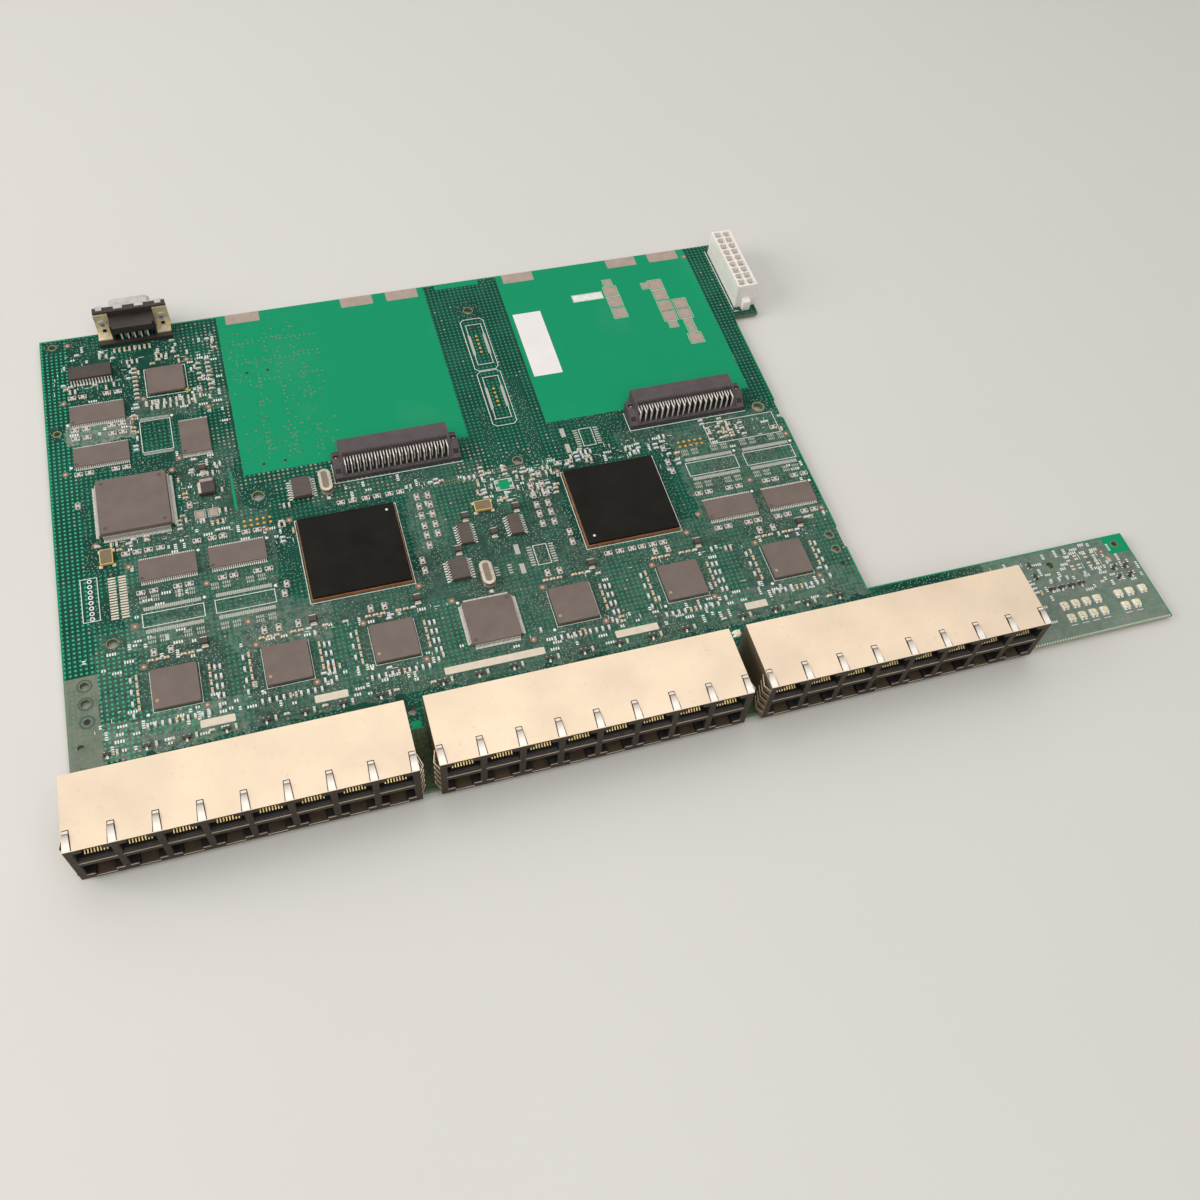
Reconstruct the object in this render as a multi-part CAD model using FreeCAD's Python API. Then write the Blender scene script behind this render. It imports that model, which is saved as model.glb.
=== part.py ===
import FreeCAD, Part
import math
import os

V = FreeCAD.Vector

# Driving dimensions, in millimetres.
# Layout frame: x from the left end of the jack row, y from the jack fronts
# towards the rear edge, z up from the top of the board.

# Circuit board
BOARD_THICK = 1.6
LEFT_MARGIN = 1.5
JACK_OVERHANG = 2.4
STRIP_DEPTH = 43.0
STRIP_BEYOND_JACKS = 68.1
RIGHT_MARGIN = 3.1
BAY_DEPTH = 95.8
NIB_LENGTH = 11.0
NIB_DEPTH = 0.8
NIB_FROM_FRONT = (64.6, 138.0)
PEG_CLEARANCE = 0.1
SMALL_SIDES = 10

# Mounting, tooling and locating holes, each a diameter
CROSS_HOLE_DIA = 4.4
SPINE_HOLE_DIA = 3.8
CROSS_HOLE_INSET = 80.2
CROSS_HOLE_EDGE = 9.0
SPINE_HOLE_X = 187.1
SPINE_HOLE_REAR = 19.9
SPINE_HOLE_FRONT = 143.0
LEFT_EDGE_HOLES = ((4.5, 200.0, 2.6), (18.3, 91.0, 4.0), (7.1, 75.0, 3.2), (7.1, 67.3, 3.6), (4.3, 49.8, 2.4))
REAR_CORNER_HOLE = (5.2, 4.5, 2.8)
RIGHT_EDGE_HOLES = ((5.0, 74.3, 3.2), (5.0, 66.8, 3.2))
STRIP_HOLES = ((29.3, 34.9, 3.2), (62.5, 38.4, 2.6))
JACK_GAP_HOLE_DIA = 3.4
JACK_GAP_HOLE_Y = 35.5

# Stacked network jacks
JACK_COUNT = 3
PORT_COLUMNS = 8
PORT_PITCH = 14.13
JACK_END_MARGIN = 1.33
JACK_GAP = 6.8
JACK_DEPTH = 28.0
JACK_HEIGHT = 23.3
SHIELD_WALL = 0.3
PORT_WIDTH = 11.7
PORT_HEIGHT = 6.9
PORT_DEPTH = 14.0
LATCH_WIDTH = 6.2
LATCH_HEIGHT = 1.9
PORT_EDGE = 1.1
FRAME_SIDE = 0.35
FRAME_LIP = 1.1
PEG_DIA = 3.2
PEG_BACK = 17.0
PEG_INSET = 15.4
PEG_PROUD = 1.4

# Spring fingers on the shields
FINGER_LENGTH = 7.6
FINGER_TIP_WIDTH = 1.8
FINGER_ROOT_WIDTH = 2.6
FINGER_SLOT = 0.3
FINGER_RISE = 0.8
FINGER_CROWN = 5.4
SIDE_FINGERS = 5
SIDE_FINGER_WIDTH = 2.0
SIDE_FINGER_PITCH = 4.0
SIDE_FINGER_BULGE = 1.7
SIDE_FINGER_CROWN = 3.0
SIDE_FINGER_TIP_GAP = 0.15

# Console port
CONSOLE_X = 39.4
BRACKET_SPACING = 24.99
BRACKET_WIDTH = 6.0
CONSOLE_FLANGE_MARGIN = 2.905
CONSOLE_FLANGE_WIDTH = BRACKET_SPACING + 2 * CONSOLE_FLANGE_MARGIN
CONSOLE_FLANGE_HEIGHT = 12.5
CONSOLE_FLANGE_THICK = 3.0
CONSOLE_CENTRE_Z = 6.6
CONSOLE_BRACKET_PLANE = 0.9
CONSOLE_BASE_DEPTH = 8.3
CONSOLE_BASE_HEIGHT = 2.0
CONSOLE_BASE_BAR = 1.6
CONSOLE_WALL = 0.995
CONSOLE_BLOCK_WIDTH = BRACKET_SPACING - BRACKET_WIDTH - 2 * CONSOLE_WALL
CONSOLE_BLOCK_DEPTH = 7.6
CONSOLE_BLOCK_TOP = 9.6
CONSOLE_BLOCK_FOOT = 6.2
COLLAR_TOP_WIDTH = 17.6
COLLAR_HEIGHT = 9.2
COLLAR_SLOPE_DEG = 10.0
COLLAR_RADIUS = 2.4
COLLAR_CORNER_STEPS = 3
COLLAR_LENGTH = 6.0
CONSOLE_SHEET = 0.5
FOLD_LENGTH = 2.1
FOLD_SPACING = 8.8
FOLD_WIDTH = 3.8
FOLD_END_WIDTH = 2.6
CONSOLE_PIN_PITCH = 2.77
CONSOLE_ROW_PITCH = 2.84
CONSOLE_PIN_DIA = 1.0
CONSOLE_PIN_SIDES = 6
CONSOLE_PIN_SETBACK = 0.8
CONSOLE_TAIL_WIDTH = 0.8
CONSOLE_TAIL_TIP = 0.5
CONSOLE_TAIL_THICK = 0.4
CONSOLE_TAIL_BACK = 6.1
BRACKET_FOOT = 6.0
BRACKET_TOP = 11.9
BRACKET_SHEET = 0.6
BRACKET_HOLE_DIA = 2.6
BRACKET_SLOT = 1.7
RIVET_DIA = 4.4
RIVET_STEM_DIA = 2.8
RIVET_BORE_DIA = 2.0
RIVET_HEAD = 0.7
LOCK_DIA = 2.2

# Power header
HEADER_WAYS = 9
HEADER_PITCH = 4.2
HEADER_END_WALL = 0.6
HEADER_WIDTH = 9.6
HEADER_HEIGHT = 12.9
HEADER_CAVITY = 3.5
HEADER_CAVITY_DEPTH = 9.6
HEADER_CAVITY_CHAMFER = 0.9
HEADER_POST = 1.1
HEADER_POST_LENGTH = 6.4
HEADER_EAR_LENGTH = 2.8
HEADER_EAR_WIDTH = 3.6
HEADER_EAR_HEIGHT = 5.0
HEADER_PEG_DIA = 1.8
HEADER_FROM_EDGE = 2.3
HEADER_REAR_MARGIN = 5.4
HEADER_TAB_MARGIN = 0.4
HEADER_FRONT_MARGIN = 2.8
LATCH_RAMP_WIDTH = 4.0
LATCH_RAMP_PROUD = 0.9
LATCH_RAMP_DROP = 3.6

# Module sockets
SOCKET_FRONT_Y = 148.7
SOCKET_CENTRES_X = (137.3, 266.4)
SOCKET_COLUMNS = 18
SOCKET_COLUMN_PITCH = 2.54
SOCKET_BODY_END = 0.35
SOCKET_EAR_WIDTH = 3.3
SOCKET_EAR_HEIGHT = 6.0
SOCKET_EAR_DEPTH = 11.0
SOCKET_EAR_POCKET = 1.6
SOCKET_POCKET_BACK = 8.3
SOCKET_DEPTH = 15.0
SOCKET_HEIGHT = 8.6
SOCKET_ROOF_DEPTH = 7.9
SOCKET_CHEEK = 1.2
SOCKET_SILL_HEIGHT = 2.0
SOCKET_SILL_DEPTH = 1.5
SOCKET_MOUTH_HEIGHT = 5.4
SOCKET_MOUTH_DEPTH = 6.0
SOCKET_MOUTH_END = 1.0
SOCKET_TONGUE_THICK = 1.3
SOCKET_TONGUE_LENGTH = 5.0
SOCKET_TONGUE_END = 1.2
TAIL_WIRE = 0.45
TAIL_HEIGHT = 6.3
TAIL_REACH = 4.3

# Chips: body length, width and height
SWITCH_CHIP = (40.0, 40.0)
SWITCH_SUBSTRATE_HEIGHT = 1.3
SWITCH_LID_INSET = 0.4
SWITCH_LID_HEIGHT = 1.2
PORT_CHIP = (17.0, 17.0, 1.7)
PROCESSOR_CHIP = (28.0, 28.0, 3.5)
LOGIC_CHIP = (20.0, 20.0, 1.5)
CONTROLLER_CHIP = (15.8, 15.0, 1.5)
MEMORY_CHIP = (22.22, 10.16, 1.1)
FLASH_CHIP = (12.0, 18.4, 1.1)
LINE_DRIVER_CHIP = (17.9, 7.5, 2.4)
CLOCK_CHIP = (7.5, 10.3, 2.3)
BUFFER_CHIP = (5.3, 10.2, 1.7)
BODY_DRAFT = 0.25

# Chip centres
SWITCH_CENTRES = ((111.5, 111.7), (223.6, 111.5))
PORT_CHIP_Y = 66.6
PORT_CHIP_CENTRES_X = (37.5, 78.3, 118.9, 190.2, 236.1, 281.9)
PROCESSOR_CENTRE = (30.4, 154.5)
LOGIC_CENTRE = (157.1, 67.0)
FRONT_MEMORY_CENTRES = ((40.1, 121.3), (67.0, 121.3), (268.3, 97.8), (295.0, 97.8))
CLOCK_CENTRES = ((96.4, 148.0), (150.2, 93.0))
BUFFER_CENTRES = ((156.6, 109.6), (177.5, 109.6))
REAR_MEMORY_X = 19.9
REAR_MEMORY_FROM_REAR = (47.5, 70.9)
FLASH_X = 57.8
FLASH_FROM_REAR = 69.4
CONTROLLER_X = 49.3
CONTROLLER_FROM_REAR = 34.4
LINE_DRIVER_X = 18.7
LINE_DRIVER_FROM_REAR = 23.9

# Clock cans, regulator and label
CRYSTAL_CAN = (3.9, 10.3)
CRYSTAL_FOOT_MARGIN = 0.4
CRYSTAL_FOOT_HEIGHT = 0.6
CRYSTAL_HEIGHT = 3.6
CRYSTAL_END_STEPS = 6
CRYSTAL_CENTRES = ((106.4, 148.2), (160.3, 87.4))
OSCILLATOR_CAN = (7.2, 5.0)
OSCILLATOR_BASE = 1.0
OSCILLATOR_HEIGHT = 1.6
OSCILLATOR_LID_INSET = 0.5
OSCILLATOR_LEFT = (17.8, 131.0)
OSCILLATOR_MIDDLE = (166.8, 122.0)
REGULATOR_BODY = (7.0, 6.4, 2.3)
REGULATOR_TAB = (5.2, 2.6, 0.6)
REGULATOR_CENTRE = (59.2, 156.4)
LABEL_SIZE = (13.3, 40.0)
LABEL_THICK = 0.15
LABEL_X = 213.3
LABEL_FROM_REAR = 47.2

# Small parts that stay together as groups
TANTALUM = (3.0, 3.6, 1.9)
TANTALUM_ROW_Y = 83.6
TANTALUM_FROM_PORT_CHIP = 12.2
TANTALUM_LOOSE = ((158.3, 118.6), (180.0, 118.6), (168.0, 108.0), (152.0, 102.8))
LED = (2.9, 3.4, 1.6)
LED_DRAFT = 0.3
LED_COLUMN_PITCH = 5.15
LED_ROW_PITCH = 6.0
LED_FIRST = (25.2, 8.7)
LED_COLUMNS = ((0, 4, 2), (5, 2, 2), (7.2, 1, 1))


def slab(x0, x1, y0, y1, z0, z1):
    """A box between two corners."""
    return Part.makeBox(x1 - x0, y1 - y0, z1 - z0, V(x0, y0, z0))


def outline_face(points):
    """A flat face inside a closed run of straight edges."""
    return Part.Face(Part.makePolygon(points + [points[0]]))


def plan_prism(points, z0, z1):
    """A prism on a plan outline of (x, y) points."""
    return outline_face([V(x, y, z0) for x, y in points]).extrude(V(0, 0, z1 - z0))


def side_prism(points, x0, x1):
    """A prism across x on a side outline of (y, z) points."""
    return outline_face([V(x0, y, z) for y, z in points]).extrude(V(x1 - x0, 0, 0))


def front_prism(points, y0, y1):
    """A prism along y on a front outline of (x, z) points."""
    return outline_face([V(x, y0, z) for x, z in points]).extrude(V(0, y1 - y0, 0))


def post(x, y, dia, z0, z1):
    """An upright round bar."""
    return Part.makeCylinder(dia / 2, z1 - z0, V(x, y, z0))


def ring_points(u, v, dia, sides, around):
    """Corners of a regular outline inside a circle, or around it for a hole."""
    radius = dia / 2
    if around:
        radius /= math.cos(math.pi / sides)
    steps = [2 * math.pi * i / sides for i in range(sides)]
    return [(u + radius * math.cos(a), v + radius * math.sin(a)) for a in steps]


def small_peg(x, y, dia, z0, z1):
    """An upright small peg with few sides."""
    return plan_prism(ring_points(x, y, dia, SMALL_SIDES, False), z0, z1)


def small_hole(x, y, dia, z0, z1):
    """A cutter for an upright small hole that clears the given diameter."""
    return plan_prism(ring_points(x, y, dia, SMALL_SIDES, True), z0, z1)


def stepped_body(centre, sections):
    """A solid through rectangles of (length, width, height), from the bottom up."""
    cx, cy = centre
    rings = []
    for length, width, z in sections:
        hx = length / 2
        hy = width / 2
        rings.append([V(cx - hx, cy - hy, z), V(cx + hx, cy - hy, z),
                      V(cx + hx, cy + hy, z), V(cx - hx, cy + hy, z)])
    faces = [outline_face(rings[0][::-1]), outline_face(rings[-1])]
    for low, high in zip(rings, rings[1:]):
        for i in range(4):
            j = (i + 1) % 4
            faces.append(outline_face([low[i], low[j], high[j], high[i]]))
    return Part.makeSolid(Part.makeShell(faces))


def moulded_chip(centre, size):
    """A moulded package with a parting line at half its height."""
    length, width, height = size
    slim = (length - 2 * BODY_DRAFT, width - 2 * BODY_DRAFT)
    return stepped_body(centre, ((*slim, 0), (length, width, height / 2), (*slim, height)))


# Places worked out from the driving dimensions
JACK_WIDTH = PORT_COLUMNS * PORT_PITCH + 2 * JACK_END_MARGIN
JACK_XS = [i * (JACK_WIDTH + JACK_GAP) for i in range(JACK_COUNT)]
JACK_ROW_END = JACK_XS[-1] + JACK_WIDTH
BOARD_LEFT = -LEFT_MARGIN
BOARD_FRONT = JACK_OVERHANG
STRIP_REAR = BOARD_FRONT + STRIP_DEPTH
STRIP_RIGHT = JACK_ROW_END + STRIP_BEYOND_JACKS
MAIN_RIGHT = FRONT_MEMORY_CENTRES[-1][0] + MEMORY_CHIP[0] / 2 + RIGHT_MARGIN
BAY_FRONT = SOCKET_FRONT_Y + SOCKET_EAR_DEPTH
BOARD_REAR = BAY_FRONT + BAY_DEPTH
HEADER_LENGTH = HEADER_WAYS * HEADER_PITCH + 2 * HEADER_END_WALL
HEADER_X0 = MAIN_RIGHT + HEADER_FROM_EDGE
HEADER_X1 = HEADER_X0 + HEADER_WIDTH
HEADER_Y1 = BOARD_REAR - HEADER_REAR_MARGIN
HEADER_Y0 = HEADER_Y1 - HEADER_LENGTH
TAB_RIGHT = HEADER_X1 + HEADER_TAB_MARGIN
TAB_FRONT = HEADER_Y0 - HEADER_EAR_LENGTH - HEADER_FRONT_MARGIN
BRACKET_Y = BOARD_REAR - CONSOLE_BRACKET_PLANE
PEG_FOOT = -BOARD_THICK - PEG_PROUD
SOCKET_BODY_HALF = SOCKET_COLUMNS * SOCKET_COLUMN_PITCH / 2 + SOCKET_BODY_END
SOCKET_HALF = SOCKET_BODY_HALF + SOCKET_EAR_WIDTH


def jack_peg_places(jack_x):
    """The two locating pegs under one jack."""
    return [(jack_x + PEG_INSET, PEG_BACK), (jack_x + JACK_WIDTH - PEG_INSET, PEG_BACK)]


def header_peg_places():
    """The locating pegs under the two ears of the power header."""
    x = (HEADER_X0 + HEADER_X1) / 2
    return [(x, HEADER_Y0 - HEADER_EAR_LENGTH / 2), (x, HEADER_Y1 + HEADER_EAR_LENGTH / 2)]


def bracket_lock_places():
    """The board locks under the two console brackets."""
    y = BRACKET_Y - BRACKET_FOOT / 2
    return [(CONSOLE_X + side * BRACKET_SPACING / 2, y) for side in (-1, 1)]


def mounting_hole_places():
    """The four screw holes that carry the board, as (x, y, diameter)."""
    return [(BOARD_LEFT + CROSS_HOLE_INSET, SOCKET_FRONT_Y, CROSS_HOLE_DIA),
            (MAIN_RIGHT - CROSS_HOLE_EDGE, SOCKET_FRONT_Y, CROSS_HOLE_DIA),
            (SPINE_HOLE_X, SPINE_HOLE_FRONT, SPINE_HOLE_DIA),
            (SPINE_HOLE_X, BOARD_REAR - SPINE_HOLE_REAR, SPINE_HOLE_DIA)]


def small_hole_places():
    """Tooling, locating and peg holes, as (x, y, diameter)."""
    holes = [(BOARD_LEFT + x, y, dia) for x, y, dia in LEFT_EDGE_HOLES]
    corner_x, corner_y, corner_dia = REAR_CORNER_HOLE
    holes.append((BOARD_LEFT + corner_x, BOARD_REAR - corner_y, corner_dia))
    holes += [(MAIN_RIGHT - x, y, dia) for x, y, dia in RIGHT_EDGE_HOLES]
    holes += [(JACK_ROW_END + x, BOARD_FRONT + y, dia) for x, y, dia in STRIP_HOLES]
    holes.append((JACK_WIDTH + JACK_GAP / 2, JACK_GAP_HOLE_Y, JACK_GAP_HOLE_DIA))
    pegs = [place for jack_x in JACK_XS for place in jack_peg_places(jack_x)]
    holes += [(x, y, PEG_DIA + 2 * PEG_CLEARANCE) for x, y in pegs]
    holes += [(x, y, HEADER_PEG_DIA + 2 * PEG_CLEARANCE) for x, y in header_peg_places()]
    holes += [(x, y, LOCK_DIA + 2 * PEG_CLEARANCE) for x, y in bracket_lock_places()]
    return holes


def circuit_board():
    """The L-shaped board, its header tab, break-off nibs and holes."""
    outline = [(BOARD_LEFT, BOARD_FRONT), (STRIP_RIGHT, BOARD_FRONT), (STRIP_RIGHT, STRIP_REAR),
               (MAIN_RIGHT, STRIP_REAR), (MAIN_RIGHT, TAB_FRONT), (TAB_RIGHT, TAB_FRONT),
               (TAB_RIGHT, BOARD_REAR), (BOARD_LEFT, BOARD_REAR)]
    board = plan_prism(outline, -BOARD_THICK, 0)
    cuts = [slab(MAIN_RIGHT - NIB_DEPTH, MAIN_RIGHT, BOARD_FRONT + y, BOARD_FRONT + y + NIB_LENGTH,
                 -BOARD_THICK, 0) for y in NIB_FROM_FRONT]
    cuts += [post(x, y, dia, -BOARD_THICK, 0) for x, y, dia in mounting_hole_places()]
    cuts += [small_hole(x, y, dia, -BOARD_THICK, 0) for x, y, dia in small_hole_places()]
    return board.cut(cuts)


def port_outline(column, upper, side, lip, latch):
    """One port's T-shaped front outline, widened by side, lip and latch."""
    middle = JACK_END_MARGIN + (column + 0.5) * PORT_PITCH
    half = PORT_WIDTH / 2 + side
    tongue = LATCH_WIDTH / 2 + side
    latch_end = PORT_EDGE - latch
    shoulder = PORT_EDGE + LATCH_HEIGHT - side
    belly = PORT_EDGE + LATCH_HEIGHT + PORT_HEIGHT + lip
    points = [(-tongue, latch_end), (tongue, latch_end), (tongue, shoulder), (half, shoulder),
              (half, belly), (-half, belly), (-half, shoulder), (-tongue, shoulder)]
    if upper:
        return [(middle + x, JACK_HEIGHT - z) for x, z in points]
    return [(middle + x, z) for x, z in points]


def each_port(side, lip, latch):
    """Front outlines of all the ports of one jack."""
    return [port_outline(column, upper, side, lip, latch)
            for column in range(PORT_COLUMNS) for upper in (False, True)]


def sheet_strip(upper):
    """Side outline of a bent strip of shield sheet under a run of (distance, height) points."""
    return upper + [(back, height - SHIELD_WALL) for back, height in upper[::-1]]


def top_finger(x):
    """A tapered spring finger over one port boundary, and the window around it."""
    root = FINGER_ROOT_WIDTH / 2
    tip = FINGER_TIP_WIDTH / 2
    plan = [(x - root, 0), (x + root, 0), (x + tip, FINGER_LENGTH), (x - tip, FINGER_LENGTH)]
    bend = [(0, 0), (FINGER_CROWN, FINGER_RISE), (FINGER_LENGTH, 0)]
    side = [(back, JACK_HEIGHT + height) for back, height in sheet_strip(bend)]
    floor = JACK_HEIGHT - SHIELD_WALL
    finger = side_prism(side, x - root, x + root)
    finger = finger.common(plan_prism(plan, floor, JACK_HEIGHT + FINGER_RISE))
    root += FINGER_SLOT
    tip += FINGER_SLOT
    back = FINGER_LENGTH + FINGER_SLOT
    left = SHIELD_WALL
    right = JACK_WIDTH - SHIELD_WALL
    window = [(max(x - root, left), SHIELD_WALL), (min(x + root, right), SHIELD_WALL),
              (min(x + tip, right), back), (max(x - tip, left), back)]
    return finger, plan_prism(window, floor, JACK_HEIGHT)


def side_finger(z, right):
    """A bowed contact finger folded back from the front over one end wall."""
    tip = SHIELD_WALL + SIDE_FINGER_TIP_GAP
    bend = [(0, 0), (SIDE_FINGER_CROWN, SIDE_FINGER_BULGE), (FINGER_LENGTH, tip)]
    plan = [(-bulge, back) for back, bulge in sheet_strip(bend)]
    if right:
        plan = [(JACK_WIDTH - x, y) for x, y in plan]
    half = SIDE_FINGER_WIDTH / 2
    return plan_prism(plan, z - half, z + half)


def jack_shield():
    """The folded sheet shield: port frames in front, spring fingers on top and ends."""
    wall = SHIELD_WALL
    shell = slab(0, JACK_WIDTH, 0, JACK_DEPTH, 0, JACK_HEIGHT)
    inside = slab(wall, JACK_WIDTH - wall, wall, JACK_DEPTH - wall, 0, JACK_HEIGHT - wall)
    frames = [front_prism(points, 0, wall) for points in each_port(FRAME_SIDE, FRAME_LIP, FRAME_SIDE)]
    pairs = [top_finger(JACK_END_MARGIN + i * PORT_PITCH) for i in range(PORT_COLUMNS + 1)]
    fingers = [finger for finger, _ in pairs]
    first = JACK_HEIGHT / 2 - (SIDE_FINGERS - 1) / 2 * SIDE_FINGER_PITCH
    for i in range(SIDE_FINGERS):
        fingers += [side_finger(first + i * SIDE_FINGER_PITCH, right) for right in (False, True)]
    shell = shell.cut([inside] + frames + [window for _, window in pairs])
    return shell.fuse(fingers).removeSplitter()


def jack_housing():
    """The moulded housing inside a shield, with its sockets and two board pegs."""
    wall = SHIELD_WALL
    block = slab(wall, JACK_WIDTH - wall, wall, JACK_DEPTH - wall, 0, JACK_HEIGHT - wall)
    sockets = [front_prism(points, wall, wall + PORT_DEPTH) for points in each_port(0, 0, 0)]
    pegs = [small_peg(x, y, PEG_DIA, PEG_FOOT, 0) for x, y in jack_peg_places(0)]
    return block.cut(sockets).fuse(pegs)


def collar_outline(offset):
    """Outline of the D-shaped console collar, grown by offset, its corners rounded in a few steps."""
    slope = math.radians(COLLAR_SLOPE_DEG)
    radius = COLLAR_RADIUS + offset
    rise = COLLAR_HEIGHT / 2 - COLLAR_RADIUS
    wide = COLLAR_TOP_WIDTH / 2 - COLLAR_RADIUS
    narrow = wide - 2 * rise * math.tan(slope)
    shares = [i / COLLAR_CORNER_STEPS for i in range(COLLAR_CORNER_STEPS + 1)]
    upper = [(math.pi / 2 + slope) * share - slope for share in shares]
    lower = [(math.pi / 2 - slope) * share - math.pi / 2 for share in shares]
    right = [(narrow + radius * math.cos(a), -rise + radius * math.sin(a)) for a in lower]
    right += [(wide + radius * math.cos(a), rise + radius * math.sin(a)) for a in upper]
    outline = right + [(-x, z) for x, z in right[::-1]]
    return [(CONSOLE_X + x, CONSOLE_CENTRE_Z + z) for x, z in outline]


def collar_bar(offset, y0, y1):
    """A solid bar of the collar's section along y."""
    return front_prism(collar_outline(offset), y0, y1)


def console_flange_box(y0, y1):
    """A plate of the console port's flange size."""
    half = CONSOLE_FLANGE_WIDTH / 2
    low = CONSOLE_CENTRE_Z - CONSOLE_FLANGE_HEIGHT / 2
    return slab(CONSOLE_X - half, CONSOLE_X + half, y0, y1, low, low + CONSOLE_FLANGE_HEIGHT)


def rivet_bars(dia, y0, y1, around):
    """Bars on the two jack-screw axes of the console port."""
    bars = []
    for side in (-1, 1):
        x = CONSOLE_X + side * BRACKET_SPACING / 2
        bars.append(front_prism(ring_points(x, CONSOLE_CENTRE_Z, dia, SMALL_SIDES, around), y0, y1))
    return bars


def console_pin_places():
    """The two pin rows of the console port, as (x, z, row)."""
    places = []
    for row, count in ((0, 5), (1, 4)):
        z = CONSOLE_CENTRE_Z + (0.5 - row) * CONSOLE_ROW_PITCH
        places += [(CONSOLE_X + (i - (count - 1) / 2) * CONSOLE_PIN_PITCH, z, row) for i in range(count)]
    return places


def console_shell():
    """Pressed front shell: flange plate, D collar and the tabs folded over the flange."""
    plate_y = BRACKET_Y + CONSOLE_FLANGE_THICK
    front_y = plate_y + CONSOLE_SHEET
    tip_y = front_y + COLLAR_LENGTH
    shell = console_flange_box(plate_y, front_y).fuse(collar_bar(0, plate_y, tip_y))
    top = CONSOLE_CENTRE_Z + CONSOLE_FLANGE_HEIGHT / 2
    for centre, width in ((FOLD_SPACING / 2, FOLD_WIDTH), (BRACKET_SPACING / 2, FOLD_END_WIDTH)):
        for x in (CONSOLE_X - centre, CONSOLE_X + centre):
            shell = shell.fuse(slab(x - width / 2, x + width / 2, plate_y - FOLD_LENGTH, front_y,
                                    top, top + CONSOLE_SHEET))
    shell = shell.cut(collar_bar(-CONSOLE_SHEET, plate_y, tip_y))
    return shell.cut(rivet_bars(RIVET_STEM_DIA, plate_y, front_y, True)).removeSplitter()


def console_housing():
    """Moulded insulator: flange, base with its wings, side walls and rear block."""
    back_y = BRACKET_Y
    plate_y = back_y + CONSOLE_FLANGE_THICK
    low = CONSOLE_CENTRE_Z - CONSOLE_FLANGE_HEIGHT / 2
    half = CONSOLE_FLANGE_WIDTH / 2
    block = CONSOLE_BLOCK_WIDTH / 2
    front_y = back_y - CONSOLE_BASE_DEPTH
    body = console_flange_box(back_y, plate_y)
    body = body.fuse(slab(CONSOLE_X - half, CONSOLE_X + half, front_y, back_y, 0, CONSOLE_BASE_HEIGHT))
    body = body.cut(slab(CONSOLE_X - block, CONSOLE_X + block, front_y + CONSOLE_BASE_BAR, back_y,
                         0, CONSOLE_BASE_HEIGHT))
    body = body.fuse(slab(CONSOLE_X - block, CONSOLE_X + block, back_y - CONSOLE_BLOCK_DEPTH, back_y,
                          CONSOLE_BLOCK_FOOT, CONSOLE_BLOCK_TOP))
    wall = (BRACKET_SPACING - BRACKET_WIDTH) / 2
    for x0, x1 in ((-wall, -block), (block, wall)):
        body = body.fuse(slab(CONSOLE_X + x0, CONSOLE_X + x1, back_y - BRACKET_FOOT, back_y,
                              max(low, 0), CONSOLE_BLOCK_TOP))
    cuts = rivet_bars(RIVET_STEM_DIA, back_y, plate_y, True)
    cuts += [small_hole(x, y, LOCK_DIA, 0, CONSOLE_BASE_HEIGHT) for x, y in bracket_lock_places()]
    cuts += [bar for place in console_pin_places() for bar in console_pin_bars(*place)]
    return body.cut(cuts).removeSplitter()


def console_pin_bars(x, z, row):
    """The flat run of a console pin through the housing, and its tapered tail."""
    floor_y = BRACKET_Y + CONSOLE_FLANGE_THICK
    tail_y = BRACKET_Y - CONSOLE_TAIL_BACK + row * CONSOLE_ROW_PITCH
    half = CONSOLE_TAIL_WIDTH / 2
    tip = CONSOLE_TAIL_TIP / 2
    thick = CONSOLE_TAIL_THICK / 2
    run = slab(x - half, x + half, tail_y + thick, floor_y, z - thick, z + thick)
    outline = [(x - tip, 0), (x + tip, 0), (x + half, z + thick), (x - half, z + thick)]
    return [run, front_prism(outline, tail_y - thick, tail_y + thick)]


def console_pin(x, z, row):
    """A console pin: nose in the collar, flat run to the rear and a tapered tail."""
    floor_y = BRACKET_Y + CONSOLE_FLANGE_THICK
    tip_y = floor_y + CONSOLE_SHEET + COLLAR_LENGTH - CONSOLE_PIN_SETBACK
    nose = front_prism(ring_points(x, z, CONSOLE_PIN_DIA, CONSOLE_PIN_SIDES, True), floor_y, tip_y)
    return nose.fuse(console_pin_bars(x, z, row)).removeSplitter()


def console_pins():
    """All nine console pins."""
    return Part.makeCompound([console_pin(*place) for place in console_pin_places()])


def console_bracket(side):
    """A right-angle bracket: upright leg on the flange, foot with its board lock."""
    x = CONSOLE_X + side * BRACKET_SPACING / 2
    half = BRACKET_WIDTH / 2
    base = CONSOLE_BASE_HEIGHT
    sheet = BRACKET_SHEET
    toe = BRACKET_Y - BRACKET_FOOT
    outline = [(toe, base), (BRACKET_Y, base), (BRACKET_Y, BRACKET_TOP), (BRACKET_Y - sheet, BRACKET_TOP),
               (BRACKET_Y - sheet, base + sheet), (toe, base + sheet)]
    bracket = side_prism(outline, x - half, x + half)
    lock_y = BRACKET_Y - BRACKET_FOOT / 2
    slot = BRACKET_SLOT / 2
    bend = slab(x - slot, x + slot, BRACKET_Y - 2 * sheet, BRACKET_Y, base, base + BRACKET_SLOT)
    cuts = [small_hole(x, lock_y, BRACKET_HOLE_DIA, base, base + sheet), bend]
    return bracket.cut(cuts + rivet_bars(RIVET_STEM_DIA, BRACKET_Y - sheet, BRACKET_Y, True))


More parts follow.
